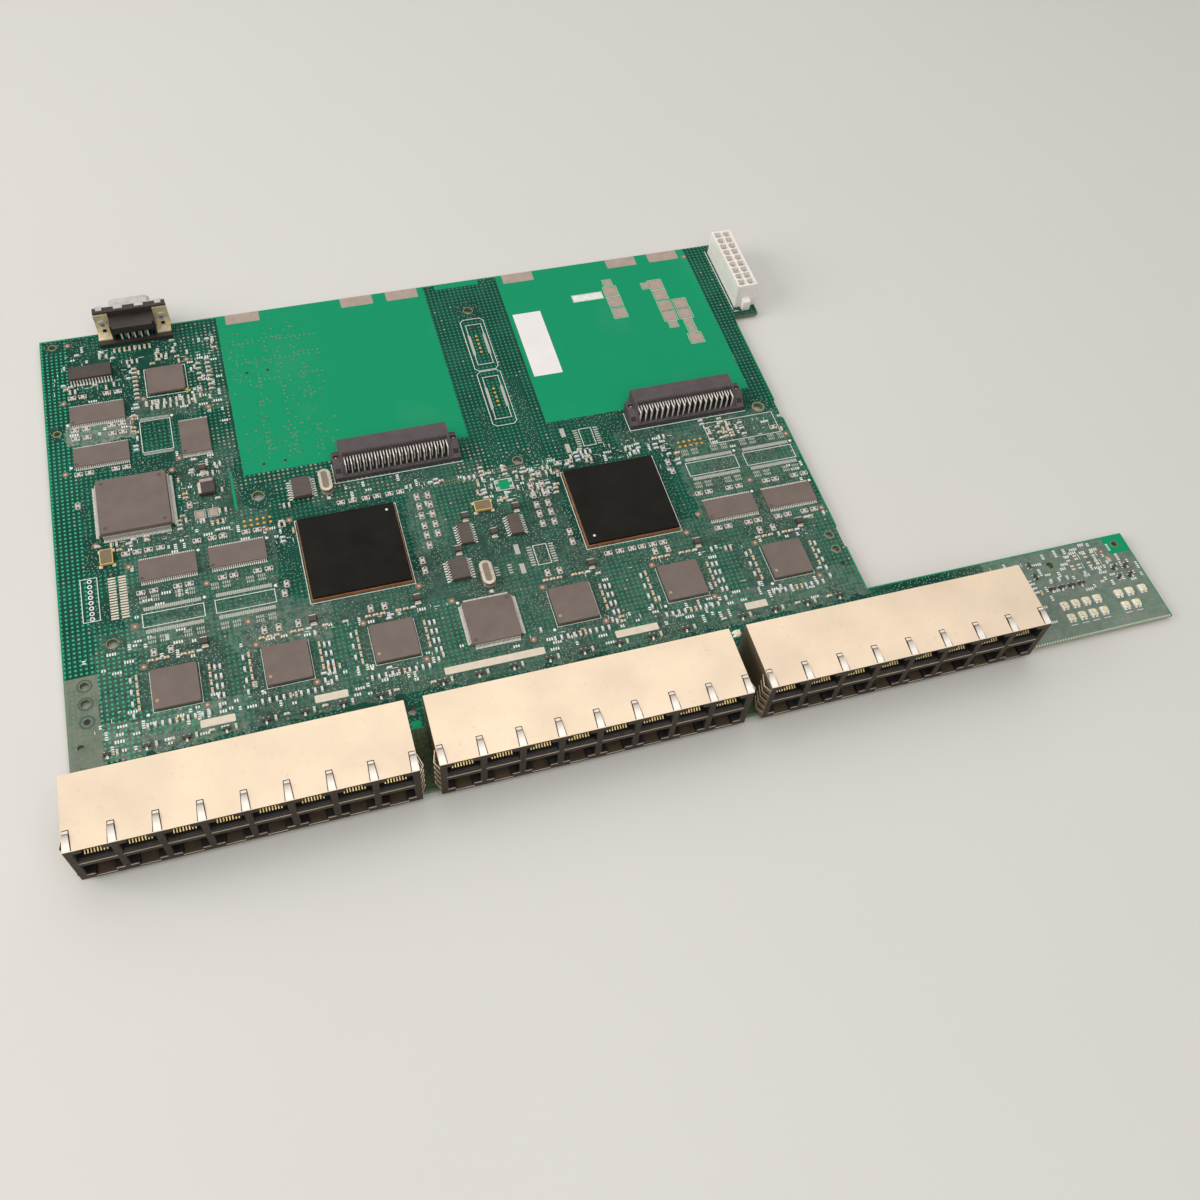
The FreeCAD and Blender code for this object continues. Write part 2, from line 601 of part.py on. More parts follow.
def console_locks():
    """Split board locks that pin the two brackets to the board."""
    locks = []
    for x, y in bracket_lock_places():
        stem = small_peg(x, y, LOCK_DIA, PEG_FOOT, CONSOLE_BASE_HEIGHT)
        head = small_peg(x, y, BRACKET_HOLE_DIA, CONSOLE_BASE_HEIGHT, CONSOLE_BASE_HEIGHT + BRACKET_SHEET)
        locks.append(stem.fuse(head))
    return Part.makeCompound(locks)


def console_rivets():
    """Flanged eyelets that clamp each bracket to the flange."""
    face_y = BRACKET_Y - BRACKET_SHEET
    head_y = face_y - RIVET_HEAD
    end_y = BRACKET_Y + CONSOLE_FLANGE_THICK + CONSOLE_SHEET
    heads = rivet_bars(RIVET_DIA, head_y, face_y, False)
    stems = rivet_bars(RIVET_STEM_DIA, face_y, end_y, False)
    bores = rivet_bars(RIVET_BORE_DIA, head_y, end_y, False)
    return Part.makeCompound([head.fuse(stem).cut(bore) for head, stem, bore in zip(heads, stems, bores)])


def header_way_centres():
    """Centres of the power header's ways, as (x, y, odd)."""
    middle = (HEADER_X0 + HEADER_X1) / 2
    first = HEADER_Y0 + HEADER_END_WALL + HEADER_PITCH / 2
    return [(middle + (row - 0.5) * HEADER_PITCH, first + i * HEADER_PITCH, (row + i) % 2)
            for row in (0, 1) for i in range(HEADER_WAYS)]


def header_cavity(x, y, odd):
    """One cavity of the power header, square or with two keyed corners."""
    half = HEADER_CAVITY / 2
    cut = HEADER_CAVITY_CHAMFER
    points = [(x - half, y - half), (x + half, y - half), (x + half, y + half), (x - half, y + half)]
    if odd:
        points = [(x - half + cut, y - half), (x + half, y - half), (x + half, y + half),
                  (x - half + cut, y + half), (x - half, y + half - cut), (x - half, y - half + cut)]
    return plan_prism(points, HEADER_HEIGHT - HEADER_CAVITY_DEPTH, HEADER_HEIGHT)


def power_header_housing():
    """Moulded upright header with two rows of cavities, end ears and a latch ramp."""
    body = slab(HEADER_X0, HEADER_X1, HEADER_Y0, HEADER_Y1, 0, HEADER_HEIGHT)
    body = body.cut([header_cavity(x, y, odd) for x, y, odd in header_way_centres()])
    middle_x = (HEADER_X0 + HEADER_X1) / 2
    middle_y = (HEADER_Y0 + HEADER_Y1) / 2
    half = HEADER_EAR_WIDTH / 2
    ears = [slab(middle_x - half, middle_x + half, y0, y0 + HEADER_EAR_LENGTH, 0, HEADER_EAR_HEIGHT)
            for y0 in (HEADER_Y0 - HEADER_EAR_LENGTH, HEADER_Y1)]
    pegs = [small_peg(x, y, HEADER_PEG_DIA, PEG_FOOT, 0) for x, y in header_peg_places()]
    ramp_z = HEADER_HEIGHT - LATCH_RAMP_DROP
    wedge = [(HEADER_X1, HEADER_HEIGHT), (HEADER_X1 + LATCH_RAMP_PROUD, ramp_z), (HEADER_X1, ramp_z)]
    ramp = front_prism(wedge, middle_y - LATCH_RAMP_WIDTH / 2, middle_y + LATCH_RAMP_WIDTH / 2)
    return body.fuse(ears + pegs + [ramp]).removeSplitter()


def power_header_pins():
    """Square posts standing on the floors of the power header's cavities."""
    half = HEADER_POST / 2
    floor = HEADER_HEIGHT - HEADER_CAVITY_DEPTH
    return Part.makeCompound([slab(x - half, x + half, y - half, y + half, floor, floor + HEADER_POST_LENGTH)
                              for x, y, _ in header_way_centres()])


def module_socket(middle):
    """Right-angle module socket: roofed body with a tongue, cheeks, sill and pocketed ears."""
    front = SOCKET_FRONT_Y
    rear = front + SOCKET_DEPTH
    wall_y = rear - SOCKET_ROOF_DEPTH
    body_half = SOCKET_BODY_HALF
    body = slab(middle - body_half, middle + body_half, wall_y, rear, 0, SOCKET_HEIGHT)
    mouth = body_half - SOCKET_MOUTH_END
    mid_z = SOCKET_HEIGHT / 2
    body = body.cut(slab(middle - mouth, middle + mouth, rear - SOCKET_MOUTH_DEPTH, rear,
                         mid_z - SOCKET_MOUTH_HEIGHT / 2, mid_z + SOCKET_MOUTH_HEIGHT / 2))
    tongue = mouth - SOCKET_TONGUE_END
    root = rear - SOCKET_MOUTH_DEPTH
    body = body.fuse(slab(middle - tongue, middle + tongue, root, root + SOCKET_TONGUE_LENGTH,
                          mid_z - SOCKET_TONGUE_THICK / 2, mid_z + SOCKET_TONGUE_THICK / 2))
    sill = slab(middle - SOCKET_HALF, middle + SOCKET_HALF, front, front + SOCKET_SILL_DEPTH,
                0, SOCKET_SILL_HEIGHT)
    pieces = [sill]
    for side in (-1, 1):
        inner = middle + side * (body_half - SOCKET_CHEEK)
        face = middle + side * body_half
        outer = middle + side * SOCKET_HALF
        cheek = [(front, 0), (wall_y, 0), (wall_y, SOCKET_HEIGHT),
                 (front + SOCKET_SILL_DEPTH, SOCKET_SILL_HEIGHT), (front, SOCKET_SILL_HEIGHT)]
        pieces.append(side_prism(cheek, min(inner, face), max(inner, face)))
        ear = [(front, 0), (front + SOCKET_EAR_DEPTH, 0), (front + SOCKET_EAR_DEPTH, SOCKET_EAR_HEIGHT),
               (front + SOCKET_EAR_DEPTH / 2, SOCKET_EAR_HEIGHT), (front, SOCKET_SILL_HEIGHT)]
        pieces.append(side_prism(ear, min(face, outer), max(face, outer)))
    body = body.fuse(pieces)
    pocket = SOCKET_EAR_POCKET / 2
    cuts = []
    for side in (-1, 1):
        x = middle + side * (body_half + SOCKET_EAR_WIDTH / 2)
        y = front + SOCKET_POCKET_BACK
        cuts.append(slab(x - pocket, x + pocket, y - pocket, y + pocket,
                         SOCKET_SILL_HEIGHT, SOCKET_EAR_HEIGHT))
    return body.cut(cuts).removeSplitter()


def module_socket_tails(middle):
    """The front row of right-angle contact tails of a module socket."""
    wall_y = SOCKET_FRONT_Y + SOCKET_DEPTH - SOCKET_ROOF_DEPTH
    half = TAIL_WIRE / 2
    bend = wall_y - TAIL_REACH
    top = TAIL_HEIGHT + half
    under = TAIL_HEIGHT - half
    outline = [(wall_y, top), (bend - half, top), (bend - half, 0), (bend + half, 0),
               (bend + half, under), (wall_y, under)]
    xs = [middle + (i - (SOCKET_COLUMNS - 1) / 2) * SOCKET_COLUMN_PITCH for i in range(SOCKET_COLUMNS)]
    return Part.makeCompound([side_prism(outline, x - half, x + half) for x in xs])


def switch_substrate(centre):
    """Laminate carrier of a large switch chip."""
    length, width = SWITCH_CHIP
    return stepped_body(centre, ((length, width, 0), (length, width, SWITCH_SUBSTRATE_HEIGHT)))


def switch_lid(centre):
    """Flat lid of a large switch chip, with a bevelled rim."""
    length = SWITCH_CHIP[0] - 2 * SWITCH_LID_INSET
    width = SWITCH_CHIP[1] - 2 * SWITCH_LID_INSET
    bevel = 2 * BODY_DRAFT
    base = SWITCH_SUBSTRATE_HEIGHT
    top = base + SWITCH_LID_HEIGHT
    return stepped_body(centre, ((length, width, base), (length, width, top - BODY_DRAFT),
                                 (length - bevel, width - bevel, top)))


def crystal_can(centre):
    """Long metal crystal can with round ends on a moulded foot."""
    x, y = centre
    width, length = CRYSTAL_CAN
    straight = (length - width) / 2
    turns = [math.pi * i / CRYSTAL_END_STEPS for i in range(CRYSTAL_END_STEPS + 1)]
    end = [(width / 2 * math.cos(turn), straight + width / 2 * math.sin(turn)) for turn in turns]
    outline = [(x + u, y + v) for u, v in end] + [(x - u, y - v) for u, v in end]
    foot_half = width / 2 + CRYSTAL_FOOT_MARGIN
    foot_end = length / 2 + CRYSTAL_FOOT_MARGIN
    base = CRYSTAL_FOOT_HEIGHT
    foot = slab(x - foot_half, x + foot_half, y - foot_end, y + foot_end, 0, base)
    return plan_prism(outline, base, CRYSTAL_HEIGHT).fuse(foot)


def oscillator_can(centre, size):
    """Low oscillator package: ceramic base, then a metal lid set in."""
    length, width = size
    base = OSCILLATOR_BASE
    lid = (length - 2 * OSCILLATOR_LID_INSET, width - 2 * OSCILLATOR_LID_INSET)
    lower = stepped_body(centre, ((length, width, 0), (length, width, base)))
    return lower.fuse(stepped_body(centre, ((*lid, base), (*lid, OSCILLATOR_HEIGHT))))


def voltage_regulator():
    """Power package: drafted body with its mounting tab to the rear."""
    x, y = REGULATOR_CENTRE
    length, width, height = REGULATOR_TAB
    rear = y + REGULATOR_BODY[1] / 2
    tab = slab(x - length / 2, x + length / 2, rear - width / 2, rear + width, 0, height)
    return moulded_chip(REGULATOR_CENTRE, REGULATOR_BODY).fuse(tab).removeSplitter()


def label_sticker():
    """Blank paper label in the right module bay."""
    centre = (LABEL_X, BOARD_REAR - LABEL_FROM_REAR)
    return stepped_body(centre, ((*LABEL_SIZE, 0), (*LABEL_SIZE, LABEL_THICK)))


def block_group(places, size, draft):
    """Separate small drafted blocks, each place (x, y, turned)."""
    blocks = []
    for x, y, turned in places:
        length, width, height = size
        if turned:
            length, width = width, length
        blocks.append(stepped_body((x, y), ((length, width, 0),
                                            (length - draft, width - draft, height))))
    return Part.makeCompound(blocks)


def led_places():
    """Status lights on the strip, in groups of (first column, columns, rows)."""
    places = []
    for first, columns, rows in LED_COLUMNS:
        for column in range(columns):
            for row in range(rows):
                top = LED_FIRST[1] + LED_ROW_PITCH
                y = top - row * LED_ROW_PITCH
                places.append((JACK_ROW_END + LED_FIRST[0] + (first + column) * LED_COLUMN_PITCH,
                               BOARD_FRONT + y, False))
    return places


def tantalum_places():
    """Moulded capacitors: one beside each port chip and four round the clocks."""
    places = [(x + TANTALUM_FROM_PORT_CHIP, TANTALUM_ROW_Y, False) for x in PORT_CHIP_CENTRES_X]
    return places + [(x, y, False) for x, y in TANTALUM_LOOSE]


def all_parts():
    """Every node of the board by name, in the layout frame."""
    parts = {"circuit_board": circuit_board()}
    shield = jack_shield()
    housing = jack_housing()
    for name, x in zip(("left", "middle", "right"), JACK_XS):
        parts["jack_shield_" + name] = shield.translated(V(x, 0, 0))
        parts["jack_housing_" + name] = housing.translated(V(x, 0, 0))
    parts["console_shell"] = console_shell()
    parts["console_housing"] = console_housing()
    parts["console_pins"] = console_pins()
    parts["console_bracket_left"] = console_bracket(-1)
    parts["console_bracket_right"] = console_bracket(1)
    parts["console_locks"] = console_locks()
    parts["console_rivets"] = console_rivets()
    parts["power_header_housing"] = power_header_housing()
    parts["power_header_pins"] = power_header_pins()
    for name, x in zip(("left", "right"), SOCKET_CENTRES_X):
        parts["module_socket_" + name] = module_socket(x)
        parts["module_socket_tails_" + name] = module_socket_tails(x)
    for name, centre in zip(("left", "right"), SWITCH_CENTRES):
        parts["switch_chip_substrate_" + name] = switch_substrate(centre)
        parts["switch_chip_lid_" + name] = switch_lid(centre)
    for i, x in enumerate(PORT_CHIP_CENTRES_X, 1):
        parts[f"port_chip_{i}"] = moulded_chip((x, PORT_CHIP_Y), PORT_CHIP)
    rear_memory = [(REAR_MEMORY_X, BOARD_REAR - y) for y in REAR_MEMORY_FROM_REAR]
    for i, centre in enumerate(rear_memory + list(FRONT_MEMORY_CENTRES), 1):
        parts[f"memory_chip_{i}"] = moulded_chip(centre, MEMORY_CHIP)
    parts["processor_chip"] = moulded_chip(PROCESSOR_CENTRE, PROCESSOR_CHIP)
    parts["logic_chip"] = moulded_chip(LOGIC_CENTRE, LOGIC_CHIP)
    rear_chips = {"controller_chip": (CONTROLLER_X, CONTROLLER_FROM_REAR, CONTROLLER_CHIP),
                  "flash_chip": (FLASH_X, FLASH_FROM_REAR, FLASH_CHIP),
                  "line_driver_chip": (LINE_DRIVER_X, LINE_DRIVER_FROM_REAR, LINE_DRIVER_CHIP)}
    for name, (x, from_rear, size) in rear_chips.items():
        parts[name] = moulded_chip((x, BOARD_REAR - from_rear), size)
    for name, centre in zip(("rear", "front"), CLOCK_CENTRES):
        parts["clock_chip_" + name] = moulded_chip(centre, CLOCK_CHIP)
    for name, centre in zip(("left", "right"), BUFFER_CENTRES):
        parts["buffer_chip_" + name] = moulded_chip(centre, BUFFER_CHIP)
    for name, centre in zip(("rear", "front"), CRYSTAL_CENTRES):
        parts["crystal_can_" + name] = crystal_can(centre)
    parts["oscillator_left"] = oscillator_can(OSCILLATOR_LEFT, OSCILLATOR_CAN[::-1])
    parts["oscillator_middle"] = oscillator_can(OSCILLATOR_MIDDLE, OSCILLATOR_CAN)
    parts["voltage_regulator"] = voltage_regulator()
    parts["label_sticker"] = label_sticker()
    parts["tantalum_capacitors"] = block_group(tantalum_places(), TANTALUM, BODY_DRAFT)
    parts["status_leds"] = block_group(led_places(), LED, LED_DRAFT)
    return parts


def main():
    """Build every node, put the origin under the middle of the whole board and write the files."""
    os.makedirs("parts", exist_ok=True)
    parts = all_parts()
    whole = FreeCAD.BoundBox()
    for shape in parts.values():
        whole.add(shape.BoundBox)
    shift = V(-whole.Center.x, -whole.Center.y, -whole.ZMin)
    for name, shape in parts.items():
        shape.translated(shift).exportStep(f"parts/{name}.step")


main()
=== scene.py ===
import math
import random
from functools import reduce

import bmesh
import bpy
from bpy.props import FloatProperty, FloatVectorProperty, IntProperty, PointerProperty
from mathutils import Matrix, Vector


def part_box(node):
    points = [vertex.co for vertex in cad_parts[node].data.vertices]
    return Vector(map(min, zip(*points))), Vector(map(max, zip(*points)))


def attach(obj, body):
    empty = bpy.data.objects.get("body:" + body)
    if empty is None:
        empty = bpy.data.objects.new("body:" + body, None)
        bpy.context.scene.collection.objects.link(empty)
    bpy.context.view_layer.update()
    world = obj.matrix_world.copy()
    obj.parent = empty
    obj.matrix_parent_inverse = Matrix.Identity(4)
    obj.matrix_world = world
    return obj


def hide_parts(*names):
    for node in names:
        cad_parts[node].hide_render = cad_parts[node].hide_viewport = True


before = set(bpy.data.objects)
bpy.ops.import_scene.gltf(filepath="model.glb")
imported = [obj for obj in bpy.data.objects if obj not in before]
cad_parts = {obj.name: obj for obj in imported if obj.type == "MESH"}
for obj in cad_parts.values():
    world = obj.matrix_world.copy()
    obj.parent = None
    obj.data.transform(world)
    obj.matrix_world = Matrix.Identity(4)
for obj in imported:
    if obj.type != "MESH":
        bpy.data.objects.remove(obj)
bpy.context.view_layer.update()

bl_info = {
    "name": "Switch board looks",
    "version": (1, 0, 0),
    "blender": (4, 5, 0),
    "location": "View3D > Sidebar > Switch board",
    "description": "Models the small parts of a network switch main board and finishes its surfaces",
    "category": "Object",
}

# Places are in millimetres: x from the left end of the jack row, y from the jack
# fronts towards the rear edge, z up from the top of the board.
MM = 0.001
BOARD_LEFT = -1.5
BOARD_FRONT = 2.4
BOARD_LOW, BOARD_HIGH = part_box("circuit_board")
CORNER = Vector((BOARD_LOW.x / MM - BOARD_LEFT, BOARD_LOW.y / MM - BOARD_FRONT, BOARD_HIGH.z / MM))

JACKS = ("left", "middle", "right")
JACK_STARTS = (0.0, 122.5, 245.0)
PORT_PITCH = 14.13
PORT_FIRST = 1.33
PORT_COLUMNS = 8
PIN_PITCH = 2.54
SOCKETS = (("left", 137.3), ("right", 266.4))
PORT_CHIP_X = (37.5, 78.3, 118.9, 190.2, 236.1, 281.9)
PORT_CHIP_Y = 66.6
SEED = 11
# Working helpers
HERE = [(0, 0, 0)]


def place_at(x, y, z=0.0, turn=0.0, stretch=(1.0, 1.0, 1.0)):
    """The move from a master in millimetres to a place on the board in the frame."""
    return (Matrix.Scale(MM, 4) @ Matrix.Translation(CORNER + Vector((x, y, z)))
            @ Matrix.Rotation(math.radians(turn), 4, "Z") @ Matrix.Diagonal((*stretch, 1.0)))


def node_box(node):
    """Lowest and highest corner of a solid of the frame, in board millimetres."""
    low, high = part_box(node)
    return low / MM - CORNER, high / MM - CORNER


def clear_selection():
    """Leaves edit mode and selects nothing."""
    if bpy.context.object and bpy.context.object.mode != "OBJECT":
        bpy.ops.object.mode_set(mode="OBJECT")
    bpy.ops.object.select_all(action="DESELECT")


def opened():
    """Applies the new primitive's place and size and opens it in edit mode."""
    bpy.ops.object.transform_apply(location=True, rotation=True, scale=True)
    bpy.ops.object.mode_set(mode="EDIT")


def block(x0, x1, y0, y1, z0, z1):
    """Adds a cube between two corners and opens it for shaping."""
    clear_selection()
    bpy.ops.mesh.primitive_cube_add(size=1.0, location=((x0 + x1) / 2, (y0 + y1) / 2, (z0 + z1) / 2),
                                    scale=(x1 - x0, y1 - y0, z1 - z0))
    opened()


def disc(dia, sides, z0):
    """Adds a filled circle and opens it for shaping."""
    clear_selection()
    bpy.ops.mesh.primitive_circle_add(vertices=sides, radius=dia / 2, fill_type="NGON", location=(0, 0, z0))
    opened()


def plate(x0, x1, y0, y1, z):
    """Adds a flat rectangle and opens it for shaping."""
    clear_selection()
    bpy.ops.mesh.primitive_plane_add(size=1.0, location=((x0 + x1) / 2, (y0 + y1) / 2, z))
    bpy.context.object.scale = (x1 - x0, y1 - y0, 1.0)
    opened()


def pick(test, kind="faces"):
    """Selects the faces, edges or corners of the open mesh that pass a test."""
    modes = {"faces": "FACE", "edges": "EDGE", "verts": "VERT"}
    bpy.ops.mesh.select_mode(type=modes[kind])
    bpy.ops.mesh.select_all(action="DESELECT")
    mesh = bmesh.from_edit_mesh(bpy.context.object.data)
    mesh.normal_update()
    for item in getattr(mesh, kind):
        if test(item):
            item.select_set(True)
    mesh.select_flush_mode()
    bmesh.update_edit_mesh(bpy.context.object.data)


def middle(item):
    """Centre of a face or an edge."""
    return sum((vert.co for vert in item.verts), Vector()) / len(item.verts)


def facing_up(face):
    return face.normal.z > 0.9


def facing_down(face):
    return face.normal.z < -0.9


def upright(edge):
    return abs(edge.verts[0].co.z - edge.verts[1].co.z) > 1e-4


def all_open():
    """Selects the whole open mesh."""
    bpy.ops.mesh.select_all(action="SELECT")


def outward():
    """Turns the faces of the open mesh outward."""
    all_open()
    bpy.ops.mesh.normals_make_consistent(inside=False)


def extrude(x, y, z):
    """Extrudes what is selected."""
    bpy.ops.mesh.extrude_region_move(TRANSFORM_OT_translate={"value": (x, y, z)})


def inset(width, depth=0.0):
    """Insets the selected faces, and raises or sinks them by a depth."""
    bpy.ops.mesh.inset(thickness=width, depth=depth)


def thicken(height):
    """Raises a flat open mesh to a height."""
    all_open()
    extrude(0, 0, height)
    outward()


def ease(width, steps=1):
    """Bevels the selected edges."""
    bpy.ops.mesh.bevel(offset=width, offset_type="OFFSET", segments=steps, affect="EDGES")


def ease_top(width, steps=1):
    """Bevels the rim of the faces that look up."""
    pick(facing_up)
    bpy.ops.mesh.region_to_loop()
    ease(width, steps)


def slice_at(point, normal):
    """Cuts the whole open mesh by a plane and keeps both sides."""
    all_open()
    bpy.ops.mesh.bisect(plane_co=point, plane_no=normal, threshold=1e-5)


def paint(test, index):
    """Gives the faces of the open mesh that pass a test another finish."""
    mesh = bmesh.from_edit_mesh(bpy.context.object.data)
    for face in mesh.faces:
        if test(face):
            face.material_index = index
    bmesh.update_edit_mesh(bpy.context.object.data)


def closed(*finishes):
    """Leaves edit mode and gives the piece its finishes by name."""
    bpy.ops.object.mode_set(mode="OBJECT")
    piece = bpy.context.object
    for finish in finishes:
        piece.data.materials.append(finish_named(finish))
    return piece


def apply_modifier(piece, kind, **settings):
    """Adds a modifier and applies it."""
    clear_selection()
    bpy.context.view_layer.objects.active = piece
    piece.select_set(True)
    modifier = piece.modifiers.new(kind.lower(), kind)
    for key, value in settings.items():
        setattr(modifier, key, value)
    bpy.ops.object.modifier_apply(modifier=modifier.name)


def join(pieces, name, stands_for=None):
    """Joins finished copies into one piece that rides on the board, in place of a solid when one is named."""
    clear_selection()
    for piece in pieces:
        piece.select_set(True)
    bpy.context.view_layer.objects.active = pieces[0]
    if len(pieces) > 1:
        bpy.ops.object.join()
    piece = bpy.context.object
    piece.name = piece.data.name = name
    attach(piece, "root")
    if stands_for:
        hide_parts(stands_for)


def copies_of(master, places):
    """Copies a master, each copy with its own mesh, to the places given."""
    made = []
    for place in places:
        copy = master.copy()
        copy.data = master.data.copy()
        copy.data.transform(place_at(*place))
        bpy.context.collection.objects.link(copy)
        made.append(copy)
    return made


def set_out(master, places):
    """Copies a master to every place and removes it."""
    made = copies_of(master, places)
    bpy.data.objects.remove(master)
    return made


def spread(master, name, places, stands_for=None):
    """Sets a master out at every place and joins the copies into one piece."""
    join(set_out(master, places), name, stands_for)


def strip(width, thick, path, *finishes):
    """Bends a strip of sheet along (x, z) points, its width across y."""
    plate(-0.5, 0.5, -width / 2, width / 2, 0)
    mesh = bmesh.from_edit_mesh(bpy.context.object.data)
    for vert in mesh.verts:
        vert.co.x, vert.co.z = path[0] if vert.co.x < 0 else path[1]
    bmesh.update_edit_mesh(bpy.context.object.data)
    for (x0, z0), (x1, z1) in zip(path[1:], path[2:]):
        pick(lambda edge: (middle(edge) - Vector((x0, 0, z0))).length < 1e-4, "edges")
        extrude(x1 - x0, 0, z1 - z0)
    outward()
    piece = closed(*finishes)
    apply_modifier(piece, "SOLIDIFY", thickness=thick, offset=0.0, use_even_offset=True)
    return piece


# Finishes

class Finish:
    """A material put together from nodes that read the object's own coordinates."""

    def __init__(self, name, colour, rough, metal=0.0):
        self.material = bpy.data.materials.new(name)
        self.material.use_nodes = True
        self.material.diffuse_color = (*colour, 1.0)
        tree = self.material.node_tree
        self.nodes, self.links = tree.nodes, tree.links
        self.shader = self.nodes["Principled BSDF"]
        self.set(self.shader, {"Base Color": (*colour, 1.0), "Roughness": rough, "Metallic": metal})
        self.place = self.add("ShaderNodeTexCoord").outputs["Object"]

    def set(self, node, values):
        """Sets sockets of a node, or links them when the value is a socket."""
        for key, value in values.items():
            if isinstance(value, bpy.types.NodeSocket):
                self.links.new(value, node.inputs[key])
            else:
                node.inputs[key].default_value = value

    def add(self, kind, values=None, **settings):
        """Adds a node with its settings and sockets."""
        node = self.nodes.new(kind)
        for key, value in settings.items():
            setattr(node, key, value)
        self.set(node, values or {})
        return node

    def sums(self, operation, first, second=0.0, third=0.0):
        """One step of arithmetic."""
        node = self.add("ShaderNodeMath", {0: first, 1: second, 2: third}, operation=operation)
        return node.outputs[0]

    def times(self, *values):
        """The product of values."""
        return reduce(lambda first, second: self.sums("MULTIPLY", first, second), values)

    def most(self, *values):
        """The largest of values."""
        return reduce(lambda first, second: self.sums("MAXIMUM", first, second), values)

    def rest(self, value):
        """What a share leaves of 1."""
        return self.sums("SUBTRACT", 1.0, value)

    def noise(self, size_mm, detail=3.0, place=None):
        """Cloudy noise whose features are about a size across."""
        values = {"Vector": place or self.place, "Scale": 1.0 / (size_mm * MM), "Detail": detail}
        return self.add("ShaderNodeTexNoise", values).outputs[0]

    def blend(self, share, first, second):
        """A mix of two colours."""
        node = self.add("ShaderNodeMix", data_type="RGBA")
        sockets = {s.identifier: s for s in node.inputs}
        for key, value in (("Factor_Float", share), ("A_Color", first), ("B_Color", second)):
            if isinstance(value, bpy.types.NodeSocket):
                self.links.new(value, sockets[key])
            elif key == "Factor_Float":
                sockets[key].default_value = value
            else:
                sockets[key].default_value = (*value[:3], 1.0)
        return next(s for s in node.outputs if s.identifier == "Result_Color")

    def span(self, value, low, high, to_low=0.0, to_high=1.0):
        """A value carried from one range to another and held inside it."""
        node = self.add("ShaderNodeMapRange", {0: value, 1: low, 2: high, 3: to_low, 4: to_high})
        return node.outputs[0]

    def roughen(self, size_mm, low, high):
        """Roughness that changes in patches."""
        self.set(self.shader, {"Roughness": self.span(self.noise(size_mm), 0.35, 0.65, low, high)})

    def relief(self, height, depth_mm):
        """Bump from a height between 0 and 1."""
        bump = self.add("ShaderNodeBump", {"Height": height, "Strength": 1.0, "Distance": depth_mm * MM})
        self.set(self.shader, {"Normal": bump.outputs[0]})


def worn(name, colour, second, rough, metal=0.0, patch=6.0, grain=0.15, depth=0.01, specular=0.5):
    """A plain finish: two tints in soft patches, patchy gloss and a fine grain."""
    finish = Finish(name, colour, rough, metal)
    share = finish.span(finish.noise(patch, 4.0), 0.32, 0.68)
    finish.set(finish.shader, {"Base Color": finish.blend(share, colour, second),
                               "Specular IOR Level": specular})
    finish.roughen(patch * 0.6, max(rough - 0.08, 0.05), min(rough + 0.1, 1.0))
    finish.relief(finish.noise(grain, 2.0), depth)
    return finish.material


def shade(colour, factor):
    """A colour made lighter or darker."""
    return tuple(min(1.0, c * factor) for c in colour)


# Settings

def colour_setting(name, description, default):
    return FloatVectorProperty(name=name, description=description, default=default, subtype="COLOR",
                               size=3, min=0.0, max=1.0)


def length_setting(name, description, default_mm):
    return FloatProperty(name=name, description=description, default=default_mm * MM, unit="LENGTH",
                         min=0.0, precision=5)


def power_setting(name, description, default):
    return FloatProperty(name=name, description=description, default=default, unit="POWER", min=0.0)


def strength_setting(name, description, default):
    return FloatProperty(name=name, description=description, default=default, subtype="FACTOR", min=0.0)


class BoardColours(bpy.types.PropertyGroup):
    mask_dark: colour_setting("Dark mask", "Solder mask over the copper planes", (0.011, 0.062, 0.044))
    mask_bright: colour_setting("Bright mask", "Solder mask where no plane lies below", (0.010, 0.315, 0.148))
    laminate_edge: colour_setting("Laminate edge", "Cut edge of the board", (0.20, 0.26, 0.12))
    print_white: colour_setting("Print", "White screen print", (0.90, 0.91, 0.87))
    pad_tin: colour_setting("Tinned pads", "Bare tinned copper", (0.48, 0.378, 0.32))
    pad_gold: colour_setting("Gilt pads", "Gold-plated header pads", (0.78, 0.40, 0.07))
    copper: colour_setting("Copper", "Bare copper of the sighting marks", (0.31, 0.17, 0.12))


class PartColours(bpy.types.PropertyGroup):
    shield: colour_setting("Shield", "Tin-plated sheet of the jack shields", (0.885, 0.725, 0.555))
    black_plastic: colour_setting("Black plastic", "Jack mouldings and socket floors", (0.012, 0.011, 0.011))
    socket_plastic: colour_setting("Socket plastic", "Module socket mouldings", (0.068, 0.052, 0.058))
    nylon: colour_setting("Nylon", "Power header moulding", (1.0, 0.95, 0.90))
    brass: colour_setting("Brass", "Console brackets", (0.86, 0.74, 0.47))
    gold: colour_setting("Gold", "Plated contacts", (1.0, 0.78, 0.34))
    tin: colour_setting("Tin", "Leads, posts and end caps", (0.84, 0.80, 0.75))
    epoxy: colour_setting("Chip epoxy", "Moulded chip bodies", (0.180, 0.139, 0.122))
    lid: colour_setting("Chip lid", "Lids of the two large chips", (0.011, 0.0105, 0.009))
    carrier: colour_setting("Chip carrier", "Laminate under the lids", (0.42, 0.17, 0.07))
    can: colour_setting("Crystal can", "Pressed nickel cans", (0.27, 0.225, 0.175))
    gilt: colour_setting("Gilt can", "Oscillator lids", (0.23, 0.175, 0.105))
    orange_ceramic: colour_setting("Orange ceramic", "Ceramic capacitors", (0.74, 0.42, 0.16))
    pale_ceramic: colour_setting("Pale ceramic", "Pale chip resistors", (0.70, 0.78, 0.88))
    lamp: colour_setting("Status light", "Lens of the status lights", (0.93, 0.86, 0.55))
    paper: colour_setting("Label", "Blank paper label", (0.92, 0.89, 0.90))


